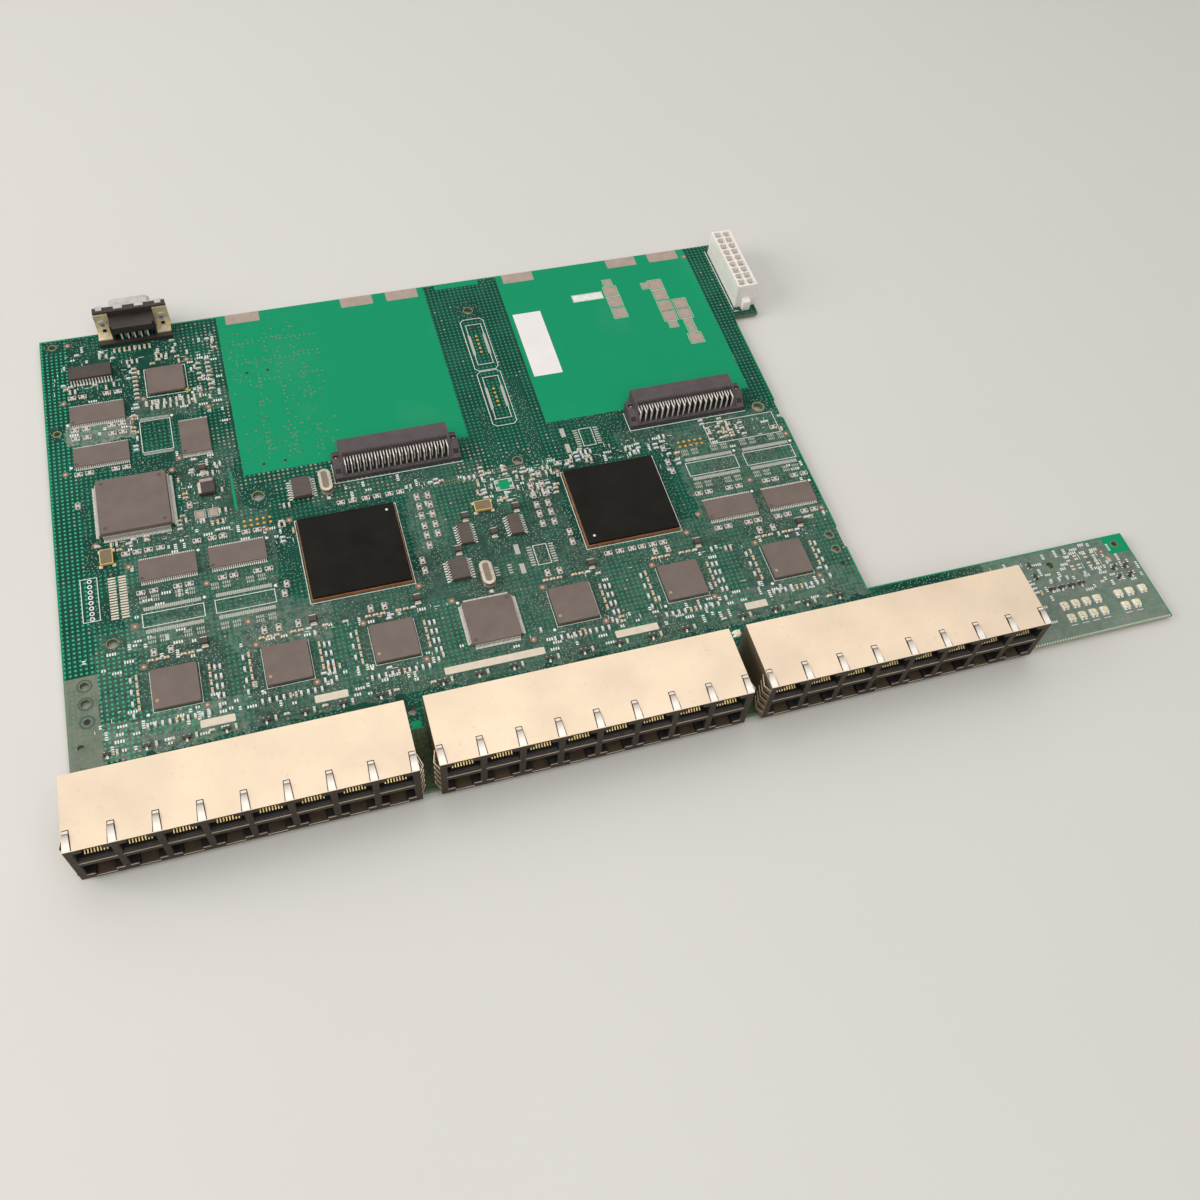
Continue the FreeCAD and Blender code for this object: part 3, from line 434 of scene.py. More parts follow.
class PartSizes(bpy.types.PropertyGroup):
    chip_length: length_setting("Chip part length", "Length of a chip capacitor or resistor", 1.6)
    chip_width: length_setting("Chip part width", "Width of a chip capacitor or resistor", 0.85)
    chip_height: length_setting("Chip part height", "Height of a chip capacitor or resistor", 0.75)
    print_height: length_setting("Print height", "Thickness of the screen print", 0.02)
    pad_height: length_setting("Pad height", "Thickness of bare pads", 0.035)
    contact_width: length_setting("Contact width", "Width of a jack contact", 0.42)
    seed: IntProperty(name="Seed", description="Start of the scattered small parts", default=SEED, min=0)


class StageSettings(bpy.types.PropertyGroup):
    floor: colour_setting("Floor", "Plain floor under the board", (0.74, 0.73, 0.71))
    key_power: power_setting("Key light", "Power of the soft light behind", 5.9)
    top_power: power_setting("Top light", "Power of the soft light above", 8.2)
    fill_power: power_setting("Fill light", "Power of the light at the left", 16.0)
    front_power: power_setting("Front light", "Power of the light in front", 6.5)
    sky: strength_setting("Room light", "Strength of the even room light", 0.2)
    backdrop: strength_setting("Backdrop", "Strength of the pale surround seen directly and in gloss", 0.5)
    lens: FloatProperty(name="Lens", description="Focal length of the camera in millimetres",
                        default=36.4456, min=1.0, unit="CAMERA")


def looks():
    return bpy.context.scene.switch_board


class SwitchBoard(bpy.types.PropertyGroup):
    board: PointerProperty(name="Board", description="Colours of the bare board", type=BoardColours)
    parts: PointerProperty(name="Parts", description="Colours of the parts", type=PartColours)
    sizes: PointerProperty(name="Sizes", description="Sizes of the small parts", type=PartSizes)
    stage: PointerProperty(name="Stage", description="Floor, light and camera", type=StageSettings)


# Finishes of one setting: the setting, two factors on its colour, roughness and what else differs
TINTED = {
    "black_plastic": ("black_plastic", 1.0, 1.8, 0.5, {}),
    "socket_plastic": ("socket_plastic", 1.0, 1.35, 0.55, {"grain": 0.3, "depth": 0.02}),
    "brass": ("brass", 1.0, 0.82, 0.38, {"metal": 0.45, "patch": 2.5}),
    "gold": ("gold", 1.0, 0.9, 0.42, {"metal": 0.6, "patch": 2.0}),
    "tin": ("tin", 1.0, 0.8, 0.36, {"metal": 0.2, "patch": 1.5}),
    "epoxy": ("epoxy", 1.0, 0.86, 0.6, {"patch": 7.0, "grain": 0.22, "depth": 0.015}),
    "mid_epoxy": ("epoxy", 0.58, 0.48, 0.6, {"patch": 4.0, "grain": 0.22, "depth": 0.012}),
    "dark_epoxy": ("epoxy", 0.38, 0.28, 0.55, {"patch": 4.0, "grain": 0.22, "depth": 0.012}),
    # Dimple floors: glossier, and darkened as painted shade of the hollow
    "polished_epoxy": ("epoxy", 0.62, 0.52, 0.45, {}),
    "lid": ("lid", 1.0, 1.5, 0.42, {"patch": 9.0, "grain": 0.3, "depth": 0.004, "specular": 0.06}),
    "carrier": ("carrier", 1.0, 0.7, 0.6, {"patch": 3.0}),
    "nickel": ("can", 1.0, 0.8, 0.4, {"metal": 0.3, "patch": 3.0}),
    "gilt": ("gilt", 1.0, 0.78, 0.4, {"metal": 0.3, "patch": 2.0}),
    "orange_ceramic": ("orange_ceramic", 1.0, 0.75, 0.5, {"patch": 1.4}),
    "pale_ceramic": ("pale_ceramic", 1.0, 0.8, 0.35, {"patch": 1.4}),
    "lamp": ("lamp", 1.0, 0.88, 0.3, {"patch": 1.2}),
    "paper": ("paper", 1.0, 0.95, 0.75, {"patch": 8.0, "grain": 0.12}),
    "print": ("print_white", 1.0, 0.85, 0.7, {"patch": 2.0}),
    "pad_tin": ("pad_tin", 1.0, 0.84, 0.45, {"metal": 0.35, "patch": 2.0, "grain": 0.5, "depth": 0.03}),
    "pad_gold": ("pad_gold", 1.0, 0.8, 0.35, {"metal": 0.5, "patch": 1.5}),
    "copper": ("copper", 1.0, 0.8, 0.5, {"metal": 0.3, "patch": 1.5}),
}
# Finishes of two fixed colours: both colours, roughness and what else differs
PAIRED = {
    "brown_plastic": ((0.042, 0.034, 0.032), (0.028, 0.023, 0.022), 0.5, {}),
    # Black plastic painted grey as a highlight on the port lips
    "grey_lip": ((0.085, 0.080, 0.078), (0.06, 0.056, 0.054), 0.4, {"patch": 3.0}),
    # Tin painted dark brown as shade inside the lower ports
    "floor_tin": ((0.105, 0.074, 0.044), (0.07, 0.05, 0.03), 0.5, {"patch": 2.5}),
    # Tin painted lighter and not metallic, as light on tails, pins and legs in shade
    "bright_tin": ((0.94, 0.91, 0.85), (0.86, 0.82, 0.75), 0.45, {"patch": 1.5}),
    "bar_tin": ((0.80, 0.71, 0.59), (0.72, 0.63, 0.51), 0.5, {"patch": 2.0, "grain": 0.5, "depth": 0.02}),
    "ring_tin": ((0.27, 0.28, 0.16), (0.20, 0.22, 0.12), 0.45, {"metal": 0.2, "patch": 1.5}),
    "pad_grey": ((0.52, 0.52, 0.46), (0.43, 0.43, 0.37), 0.45, {"metal": 0.2, "patch": 1.5}),
    "dull_via": ((0.27, 0.225, 0.155), (0.20, 0.18, 0.12), 0.5, {"metal": 0.2, "patch": 2.0}),
    "steel": ((0.66, 0.63, 0.61), (0.52, 0.49, 0.47), 0.36, {"metal": 0.6, "patch": 2.5}),
    # Can tint painted lighter as highlight on the crystals' flange and shoulders
    "bright_can": ((0.66, 0.59, 0.49), (0.52, 0.45, 0.36), 0.3, {"metal": 0.4, "patch": 1.5}),
    "gilt_rim": ((0.92, 0.64, 0.22), (0.84, 0.54, 0.15), 0.35, {"metal": 0.2, "patch": 1.5}),
    "mask_green": ((0.035, 0.29, 0.15), (0.03, 0.24, 0.12), 0.45, {"patch": 3.0, "specular": 0.15}),
    "cream_ceramic": ((0.66, 0.58, 0.46), (0.58, 0.47, 0.34), 0.5, {"patch": 1.4}),
    "alumina": ((0.68, 0.60, 0.56), (0.60, 0.52, 0.48), 0.55, {"patch": 1.4}),
    "black_glaze": ((0.012, 0.011, 0.010), (0.025, 0.022, 0.020), 0.4, {"patch": 1.5}),
    # Black painted shade for holes, slots, hollows and the shadow under the oscillators
    "hole_dark": ((0.012, 0.010, 0.009), (0.02, 0.016, 0.014), 0.7, {}),
    "lamp_case": ((0.96, 0.95, 0.90), (0.92, 0.89, 0.80), 0.45, {"patch": 1.5}),
    "pin_one": ((0.46, 0.37, 0.20), (0.38, 0.30, 0.16), 0.5, {}),
    "yellow_dab": ((0.85, 0.62, 0.05), (0.80, 0.52, 0.04), 0.5, {}),
}
FINISHES = {}


def finish_named(name):
    """A finish by name, made once from the colours in the settings."""
    if name not in FINISHES:
        FINISHES[name] = made_finish(name, looks().board, looks().parts)
    return FINISHES[name]


def made_finish(name, board, parts):
    """A new finish by name."""
    if name == "laminate":
        return board_finish(board)
    if name == "shield_tin":
        return shield_finish(parts.shield)
    if name == "nylon":
        return nylon_finish(parts.nylon)
    if name in PAIRED:
        first, second, rough, others = PAIRED[name]
    else:
        setting, near, far, rough, others = TINTED[name]
        colour = getattr(board if hasattr(board, setting) else parts, setting)
        first, second = shade(colour, near), shade(colour, far)
    return worn(name, first, second, rough, **others)


def nylon_finish(colour):
    """Natural nylon: milky, with light passing through thin walls."""
    finish = Finish("nylon", colour, 0.45)
    share = finish.span(finish.noise(5.0, 4.0), 0.35, 0.65)
    finish.set(finish.shader, {"Base Color": finish.blend(share, colour, shade(colour, 0.95)),
                               "Subsurface Weight": 0.15, "Subsurface Radius": (0.004, 0.004, 0.004),
                               "Subsurface Scale": 1.0})
    finish.roughen(3.0, 0.4, 0.55)
    finish.relief(finish.noise(0.3, 2.0), 0.008)
    return finish.material


def shield_finish(colour):
    """Tin-plated sheet: satin, faintly brushed along the row, with stains, scuffs, painted shade and painted
    highlight.
    """
    finish = Finish("shield_tin", colour, 0.4, 0.4)
    add, sums, span, noise, blend, times = (finish.add, finish.sums, finish.span, finish.noise, finish.blend,
                                            finish.times)
    stretched = add("ShaderNodeMapping", {"Vector": finish.place, "Scale": (0.08, 1.0, 1.0)}).outputs[0]
    brushed = noise(0.5, 3.0, stretched)
    cloud = span(noise(22.0, 5.0), 0.3, 0.72)
    scuff = span(noise(1.6, 8.0), 0.62, 0.75)
    base = blend(cloud, shade(colour, 1.06), shade(colour, 0.9))
    base = blend(times(scuff, 0.35), base, shade(colour, 0.72))
    # Painted shade: the front plate and end faces are darkened as shadow, and the front is made less metallic
    normal = add("ShaderNodeSeparateXYZ", {0: add("ShaderNodeNewGeometry").outputs["Normal"]}).outputs
    front = span(normal["Y"], -0.5, -0.85)
    base = blend(front, base, blend(cloud, (0.056, 0.040, 0.024), (0.036, 0.026, 0.015)))
    painted_end_shade = span(sums("ABSOLUTE", normal["X"]), 0.5, 0.85)
    base = blend(times(painted_end_shade, 0.9), base, (0.17, 0.13, 0.08))
    # Fingers stand proud of the top: painted highlight at bend and tip, painted shade between, darkest at the
    # crease
    spot = add("ShaderNodeSeparateXYZ", {0: finish.place}).outputs
    along = sums("SUBTRACT", sums("DIVIDE", spot["Y"], MM), CORNER.y)
    finger_painted_light = blend(span(along, 2.4, 6.0), (0.93, 0.88, 0.82), (0.50, 0.42, 0.36))
    finger_painted_light = blend(span(along, 6.0, 6.15), finger_painted_light, (0.20, 0.155, 0.12))
    finger_painted_light = blend(span(along, 6.35, 6.5), finger_painted_light, (0.95, 0.92, 0.86))
    crown = node_box("jack_housing_left")[1].z + CORNER.z
    raised = span(spot["Z"], (crown + 0.32) * MM, (crown + 0.4) * MM)
    base = blend(times(raised, finish.rest(front)), base, finger_painted_light)
    finish.set(finish.shader, {"Base Color": base, "Roughness": span(brushed, 0.3, 0.7, 0.34, 0.5),
                               "Metallic": span(front, 0.0, 1.0, 0.4, 0.1), "Specular IOR Level": 0.15})
    finish.relief(brushed, 0.006)
    return finish.material


def inside_any(finish, x, y, zones):
    """The largest share of the rectangles that a place of the board lies in, 1 where none is stated."""
    return finish.most(*[inside_box(finish, x, y, *zone) for zone in zones])


def inside_box(finish, x, y, x0, x1, y0, y1, *share):
    """1, or a share, inside a rectangle of the board and 0 outside."""
    across = finish.sums("ABSOLUTE", finish.sums("SUBTRACT", x, (x0 + x1) / 2))
    along = finish.sums("ABSOLUTE", finish.sums("SUBTRACT", y, (y0 + y1) / 2))
    return finish.times(finish.sums("LESS_THAN", across, (x1 - x0) / 2),
                        finish.sums("LESS_THAN", along, (y1 - y0) / 2), *share)


# Windows in the planes, where the mask looks bright: x range, y range
BRIGHT_ZONES = ((74.5, 169.7, 160.6, 257.0), (204.6, 300.0, 160.6, 257.0), (175.0, 196.0, 252.0, 257.0),
                (418.5, 430.0, 36.2, 46.0), (117.6, 121.2, 28.0, 31.2), (246.5, 252.0, 26.0, 30.0),
                (68.8, 69.9, 143.5, 164.0), (175.0, 181.5, 129.2, 133.8))
# Fields of plane vias: x range, y range
DOT_FIELDS = ((-2.0, 9.5, 79.0, 256.0), (9.0, 25.0, 78.0, 96.0), (10.5, 24.5, 40.0, 80.0),
              (26.0, 50.0, 49.0, 60.0), (56.0, 64.0, 44.0, 92.0), (96.0, 106.5, 44.0, 80.0),
              (136.0, 146.0, 50.0, 82.0), (170.0, 204.5, 141.0, 252.0), (300.0, 310.0, 46.0, 256.0),
              (72.0, 134.0, 140.5, 160.5), (207.0, 222.0, 50.0, 82.0), (250.0, 262.0, 50.0, 82.0),
              (361.0, 376.0, 10.0, 46.0), (58.0, 74.5, 176.0, 256.0), (147.0, 165.0, 119.0, 137.0),
              (404.0, 409.5, 6.0, 21.0), (160.0, 205.0, 136.0, 156.0), (419.5, 426.5, 5.0, 14.0),
              (213.0, 230.0, 84.0, 94.0), (150.0, 172.0, 56.0, 66.0))
# Fields where some of the plane vias are bare: x range, y range
PALE_FIELDS = ((56.0, 74.5, 140.0, 256.0), (72.0, 134.0, 140.5, 160.5), (160.0, 205.0, 136.0, 156.0))
# Ground that fine traces and print make lighter: x range, y range, share
BUSY_ZONES = ((-2.0, 310.0, 42.0, 57.0, 0.32), (10.0, 62.0, 42.0, 58.0, 0.62),
              (248.0, 310.0, 42.0, 58.0, 0.45), (10.0, 310.0, 57.0, 96.0, 0.24),
              (22.0, 82.0, 85.0, 97.0, 0.42), (58.0, 98.0, 75.0, 91.0, 0.52), (22.0, 82.0, 97.0, 142.0, 0.22),
              (254.0, 308.0, 86.0, 145.0, 0.30), (34.0, 74.0, 200.0, 212.0, 0.25),
              (6.0, 34.0, 191.0, 204.0, 0.85), (136.0, 200.0, 80.0, 140.0, 0.16),
              (137.0, 149.0, 104.0, 137.0, 0.32), (100.0, 172.0, 138.0, 148.0, 0.16),
              (230.0, 300.0, 138.0, 148.0, 0.16), (48.0, 72.0, 140.0, 182.0, 0.16),
              (361.0, 430.0, 2.0, 46.0, 0.55))
# The board less its clear rim: x range, y range
INNER_BOARD = ((-0.8, 308.5, 3.1, 254.8), (-0.8, 428.1, 3.1, 44.7), (300.0, 330.0, 200.0, 260.0))
# Long bundles of traces towards the rear: x range, y range
TRACE_BANDS = ((193.6, 199.4, 141.0, 190.0), (176.5, 180.5, 141.0, 175.0))
# Plated dashes on the strip's front edge: first centre, count, pitch, length and reach in from the edge
DASH_START = 363.0
DASH_COUNT = 54
DASH_PITCH = 1.22
DASH_LENGTH = 0.62
DASH_REACH = 0.6
# Grid of the plane vias: pitch and start
DOT_PITCH = 1.94
DOT_PHASE = (1.1, 0.85)
# Ground kept clear of plane vias round the holes: x, y, radius
CLEAR_RINGS = ((16.8, 91.0, 4.2), (5.6, 75.0, 3.6), (187.1, 235.6, 6.0), (187.1, 143.0, 6.0),
               (78.7, 148.7, 7.0), (300.2, 148.7, 6.0), (3.0, 200.0, 3.6), (3.7, 251.0, 4.0))
# Residue: the corner of the board, the holes in it, and the gaps between the jacks
STAINED_CORNER = (-6.0, 10.2, 38.0, 79.0)
STAINED_HOLES = ((5.6, 75.0), (5.6, 67.3), (5.6, 59.7))
JACK_GAPS = ((115.9, 122.4, 2.0, 28.0), (238.4, 244.9, 2.0, 26.0))


def board_finish(colours):
    """Solder mask over planes, via fields, traces and plain bright windows, with a laminate edge."""
    dark, bright, edge = tuple(colours.mask_dark), tuple(colours.mask_bright), tuple(colours.laminate_edge)
    finish = Finish("laminate", dark, 0.4)
    add, sums, span, noise, blend = finish.add, finish.sums, finish.span, finish.noise, finish.blend
    times, most, rest = finish.times, finish.most, finish.rest
    mapped = add("ShaderNodeMapping", {"Vector": finish.place, "Scale": (1 / MM, 1 / MM, 1 / MM),
                                       "Location": tuple(-CORNER)}).outputs[0]
    x, y, _ = add("ShaderNodeSeparateXYZ", {0: mapped}).outputs
    normal = add("ShaderNodeSeparateXYZ", {0: add("ShaderNodeNewGeometry").outputs["Normal"]}).outputs["Z"]

    def within(zones):
        return inside_any(finish, x, y, zones)

    def cells(place, size, **values):
        return add("ShaderNodeTexVoronoi", {"Vector": place, "Scale": 1 / size, **values},
                   voronoi_dimensions="2D").outputs

    def toss(cell):
        return add("ShaderNodeSeparateColor", {0: cell["Color"]}).outputs[0]

    def distance(far_x, far_y):
        return add("ShaderNodeVectorMath", {0: mapped, 1: (far_x, far_y, 0.0)},
                   operation="DISTANCE").outputs["Value"]

    upper = sums("GREATER_THAN", normal, 0.0)
    window = most(within(BRIGHT_ZONES), times(rest(within(INNER_BOARD)), 0.75))
    plane = rest(window)
    ground = blend(span(noise(30.0, 4.0), 0.3, 0.7), shade(dark, 0.8), shade(dark, 1.3))
    # Traces: each patch of the board has lines one way, the other way or none
    way, band = toss(cells(mapped, 13.0)), within(TRACE_BANDS)
    lines = []
    for direction, low, high in (("X", 0.0, 0.38), ("Y", 0.38, 0.8)):
        wave = add("ShaderNodeTexWave", {"Vector": mapped, "Scale": 0.33, "Distortion": 0.0},
                   wave_type="BANDS", bands_direction=direction, wave_profile="SIN").outputs[1]
        lines.append(times(sums("GREATER_THAN", wave, 0.72), sums("GREATER_THAN", way, low),
                           sums("LESS_THAN", way, high)))
        if direction == "X":
            bundle = times(sums("GREATER_THAN", wave, 0.6), band)
    traces = most(times(most(*lines), span(noise(9.0), 0.45, 0.6)), bundle)
    ground = blend(times(traces, 0.55), ground, shade(dark, 2.6))
    drift = span(noise(6.0, 2.0), 0.25, 0.75, -2.5, 2.5)
    busy = times(inside_any(finish, sums("ADD", x, drift), sums("ADD", y, drift), BUSY_ZONES), upper)
    ground = blend(times(busy, span(noise(2.2, 3.0), 0.35, 0.65, 0.25, 0.75)), ground, (0.36, 0.39, 0.34))
    # Plane vias on a grid, most under mask and some bare
    shifted = add("ShaderNodeMapping", {"Vector": mapped, "Location": (-DOT_PHASE[0], -DOT_PHASE[1], 0)})
    grid = cells(shifted.outputs[0], DOT_PITCH, Randomness=0.0)
    bare = sums("LESS_THAN", toss(grid), span(within(PALE_FIELDS), 0.0, 1.0, 0.025, 0.42))
    field = most(times(span(noise(16.0, 3.0), 0.47, 0.53), 0.65), within(DOT_FIELDS))
    for ring_x, ring_y, reach in CLEAR_RINGS:
        field = times(field, sums("GREATER_THAN", distance(ring_x, ring_y), reach))
    field = times(field, rest(band))
    dots = times(span(grid["Distance"], 0.20, 0.29, 1.0, 0.0), field)
    masked = blend(span(x, 8.0, 60.0), (0.06, 0.50, 0.29), (0.038, 0.30, 0.17))
    ground = blend(times(dots, 0.9), ground, blend(bare, masked, (0.40, 0.40, 0.33)))
    # Signal vias, scattered and tinned, few on the light strip
    vias = times(span(cells(mapped, 1.5)["Distance"], 0.11, 0.17, 1.0, 0.0),
                 span(noise(11.0, 3.0), 0.38, 0.46), rest(field), span(x, 360.0, 361.0, 1.0, 0.25))
    ground = blend(times(vias, 0.85), ground, (0.37, 0.50, 0.38))
    # Plain windows, hazed, with a few brown vias near their left side
    haze = span(noise(26.0, 2.0), 0.56, 0.8)
    clear = blend(times(haze, 0.4), bright, (0.045, 0.34, 0.18))
    specks = times(span(cells(mapped, 2.6)["Distance"], 0.06, 0.13, 1.0, 0.0), span(x, 84.0, 125.0, 1.0, 0.0),
                   span(noise(12.0), 0.42, 0.55))
    clear = blend(times(specks, 0.8), clear, (0.20, 0.17, 0.12))
    top = blend(window, ground, clear)
    # Residue at the front left corner, between the jacks and on the strip
    wobble = sums("ADD", x, span(noise(7.0, 1.0), 0.2, 0.8, -0.9, 0.9))
    patchy = span(noise(6.0, 5.0), 0.3, 0.7, 0.5, 0.9)
    stain = times(inside_box(finish, wobble, y, *STAINED_CORNER), upper, 1.1, patchy)
    top = blend(stain, top, (0.215, 0.245, 0.19))
    for hole in STAINED_HOLES:
        near = rest(sums("ABSOLUTE", sums("SUBTRACT", distance(*hole), 2.5)))
        top = blend(span(near, 0.45, 0.9, 0.0, 0.7), top, (0.045, 0.085, 0.06))
    gap = times(within(JACK_GAPS), upper, span(noise(3.0), 0.3, 0.7, 0.3, 0.8))
    top = blend(gap, top, (0.13, 0.135, 0.06))
    film = times(span(x, 345.0, 366.0), span(y, 40.0, 6.0, 0.42, 0.88), upper,
                 span(dots, 0.0, 1.0, 1.0, 0.35), plane, patchy)
    top = blend(film, top, (0.29, 0.335, 0.285))
    # Cut edge, with plated dashes along the front of the strip
    fibre = blend(noise(0.6), edge, shade(edge, 0.6))
    skin = blend(sums("GREATER_THAN", sums("ABSOLUTE", normal), 0.5), fibre, top)
    first, last = DASH_START - DASH_LENGTH / 2, DASH_START + (DASH_COUNT - 0.5) * DASH_PITCH
    turns = sums("FRACT", sums("DIVIDE", sums("SUBTRACT", x, first), DASH_PITCH))
    dashes = times(sums("LESS_THAN", turns, DASH_LENGTH / DASH_PITCH),
                   inside_box(finish, x, y, first, last, BOARD_FRONT - 0.5, BOARD_FRONT + DASH_REACH))
    skin = blend(dashes, skin, (0.74, 0.67, 0.50))
    finish.set(finish.shader, {"Base Color": skin, "Roughness": span(noise(14.0), 0.3, 0.7, 0.34, 0.52),
                               "Specular IOR Level": 0.05})
    raised = times(plane, most(dots, traces, vias))
    finish.relief(sums("ADD", raised, times(noise(0.9), 0.12)), 0.02)
    return finish.material


def coat(node, finish):
    """Gives a solid of the frame its finish."""
    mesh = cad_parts[node].data
    mesh.materials.clear()
    mesh.materials.append(finish_named(finish))


# Board

class SWITCHBOARD_OT_board(bpy.types.Operator):
    """Finish the circuit board and its blank label"""
    bl_idname = "switchboard.board"
    bl_label = "Circuit board"

    def execute(self, context):
        coat("circuit_board", "laminate")
        coat("label_sticker", "paper")
        return {"FINISHED"}


# Jacks

# Contact wires of a port: pitch, count in a row and thickness
CONTACT_PITCH = 1.02
CONTACT_COUNT = 8
CONTACT_THICK = 0.3
# Boxes of a port's lip and floor plate, round the middle of the port, painted grey as highlight and brown as
# shade
LIP_BOX = (-5.7, 5.7, 0.5, 1.7, 13.4, 13.55)
FLOOR_BOX = (-2.9, 2.9, 0.5, 9.5, 1.1, 1.3)
# Rows of contact wires: y, z and bent path
CONTACT_ROWS = ((2.65, 13.7, ((0.0, 0.0), (1.5, 0.9), (5.5, 2.2), (11.2, 3.2))),
                (2.35, 9.6, ((0.0, 0.0), (0.5, -0.3), (5.5, -2.2), (11.2, -3.2))))


class SWITCHBOARD_OT_jacks(bpy.types.Operator):
    """Finish the jack blocks and set the contact wires in their ports"""
    bl_idname = "switchboard.jacks"
    bl_label = "Network jacks"

    def execute(self, context):
        width = looks().sizes.contact_width / MM
        for side, start in zip(JACKS, JACK_STARTS):
            coat(f"jack_shield_{side}", "shield_tin")
            coat(f"jack_housing_{side}", "black_plastic")
            ports = [start + PORT_FIRST + PORT_PITCH * (i + 0.5) for i in range(PORT_COLUMNS)]
            columns = [x + CONTACT_PITCH * (i - (CONTACT_COUNT - 1) / 2)
                       for x in ports for i in range(CONTACT_COUNT)]
            made = []
            for y, z, path in CONTACT_ROWS:
                made += set_out(strip(width, CONTACT_THICK, path, "gold"), [(x, y, z, 90.0) for x in columns])
            join(made, f"jack_contacts_{side}")
            places = [(x, 0.0, 0.0) for x in ports]
            # The lip: black plastic painted grey as its highlight
            block(*LIP_BOX)
            pick(lambda edge: middle(edge).z > 13.5 and abs(middle(edge).x) < 1e-4, "edges")
            ease(0.1, 2)
            spread(closed("grey_lip"), f"jack_port_lips_{side}", places)
            # The floor plate: tin painted dark brown as the shade inside the lower port
            block(*FLOOR_BOX)
            pick(lambda edge: upright(edge) or middle(edge).z > 1.25, "edges")
            ease(0.06)
            spread(closed("floor_tin"), f"jack_floor_plates_{side}", places)
        return {"FINISHED"}


# Connectors

class SWITCHBOARD_OT_console(bpy.types.Operator):
    """Finish the console port"""
    bl_idname = "switchboard.console"
    bl_label = "Console port"

    def execute(self, context):
        for node, finish in (("console_shell", "steel"), ("console_housing", "brown_plastic"),
                             ("console_pins", "bright_tin"), ("console_bracket_left", "brass"),
                             ("console_bracket_right", "brass"), ("console_locks", "tin"),
                             ("console_rivets", "steel")):
            coat(node, finish)
        return {"FINISHED"}


class SWITCHBOARD_OT_power_header(bpy.types.Operator):
    """Finish the power header"""
    bl_idname = "switchboard.power_header"
    bl_label = "Power header"

    def execute(self, context):
        coat("power_header_housing", "nylon")
        coat("power_header_pins", "tin")
        return {"FINISHED"}


# Module sockets: count of the rear tails, how far the ears lie from the middle, and the tongue's contacts
TAIL_COUNT = 17
EAR_OFFSET = 24.86
TONGUE_COUNT = 35
TONGUE_PITCH = 1.2
TONGUE_LEVELS = (4.95, 3.6)


class SWITCHBOARD_OT_module_sockets(bpy.types.Operator):
    """Finish the module sockets and add their second tail row, tongue contacts and ear pins"""
    bl_idname = "switchboard.module_sockets"
    bl_label = "Module sockets"

    def execute(self, context):
        for side, centre in SOCKETS:
            coat(f"module_socket_{side}", "socket_plastic")
            # The tails are tin painted lighter, as light falling on them
            coat(f"module_socket_tails_{side}", "bright_tin")
            tail = strip(0.45, 0.3, ((-0.2, 6.3), (1.7, 6.3), (2.1, 5.9), (2.1, 0.0)), "bright_tin")
            first = centre - (TAIL_COUNT - 1) / 2 * PIN_PITCH
            spread(tail, f"module_socket_rear_tails_{side}",
                   [(first + PIN_PITCH * i, 155.8, 0.0, -90.0) for i in range(TAIL_COUNT)])
            self.ears(side, centre)
            block(centre - 22.9, centre + 22.9, 150.3, 155.7, 0.0, 0.4)
            ease_top(0.1)
            spread(closed("black_plastic"), f"module_socket_floor_{side}", HERE)
            spread(unit_pad(0.05, "gold"), f"module_socket_contacts_{side}",
                   [(centre + TONGUE_PITCH * (i - (TONGUE_COUNT - 1) / 2), 160.4, z, 0.0, (0.6, 3.6, 1.0))
                    for i in range(TONGUE_COUNT) for z in TONGUE_LEVELS])
        return {"FINISHED"}

    def ears(self, side, centre):
        """A bent pin in each ear pocket, and plates painted black as shade in the slots of the ears, roof and
        sill.
        """
        ears = (centre - EAR_OFFSET, centre + EAR_OFFSET)
        pin = strip(0.55, 0.22, ((-0.1, 2.0), (-0.1, 5.4), (0.45, 6.0), (0.75, 6.0)), "gold")
        spread(pin, f"module_socket_pins_{side}", [(x, 156.9, 0.0, -90.0) for x in ears])
        slots = []
        for x in ears:
            slots += [(x + s * 1.05, 157.0, 6.0, 0.0, (0.5, 1.1, 1.0)) for s in (-1, 1)]
            slots.append((x, 159.1, 6.0, 0.0, (2.8, 0.35, 1.0)))
        slots += [(centre + PIN_PITCH / 2 * (i - 17), 156.25, 8.6, 0.0, (0.6, 0.75, 1.0)) for i in range(35)]
        slots += [(centre + PIN_PITCH * (i - 8.5), 149.45, 2.0, 0.0, (1.6, 0.35, 1.0)) for i in range(18)]
        made = set_out(unit_pad(0.015, "hole_dark"), slots)
        # A dark strip on each ear's slope, painted as the shade in its hollow
        recess_painted_shade = strip(2.3, 0.06, ((0.0, 0.0), (1.7, 1.236)), "hole_dark")
        made += set_out(recess_painted_shade, [(x, 150.2, 3.11, 90.0) for x in ears])
        join(made, f"module_socket_slots_{side}")


# Chips

def moulded_body(low, high, draft=0.12, chamfer=0.35, foot=0.0):
    """A moulded chip body: two drafted halves, cut corners, eased top and a foot when it stands on balls."""
    base = low.z + foot
    level = (base + high.z) / 2
    block(low.x, high.x, low.y, high.y, base, level)
    pick(facing_up)
    extrude(0, 0, high.z - level)
    centre = ((low.x + high.x) / 2, (low.y + high.y) / 2, 0)
    shrink = (1 - 2 * draft / (high.x - low.x), 1 - 2 * draft / (high.y - low.y), 1)
    for test in (facing_up, facing_down):
        pick(test)
        bpy.ops.transform.resize(value=shrink, center_override=centre)
    pick(upright, "edges")
    ease(chamfer)
    ease_top(0.08, 2)
    if foot:
        pick(facing_down)
        inset(0.7)
        extrude(0, 0, -foot)
    return bpy.context.object


def dimple(piece, x, y, z, dia, depth):
    """Sinks a round mould mark into a face that looks up."""
    clear_selection()
    bpy.ops.mesh.primitive_cylinder_add(vertices=20, radius=dia / 2, depth=2 * depth, location=(x, y, z))
    cutter = bpy.context.object
    apply_modifier(piece, "BOOLEAN", object=cutter, operation="DIFFERENCE", solver="EXACT")
    bpy.data.objects.remove(cutter)


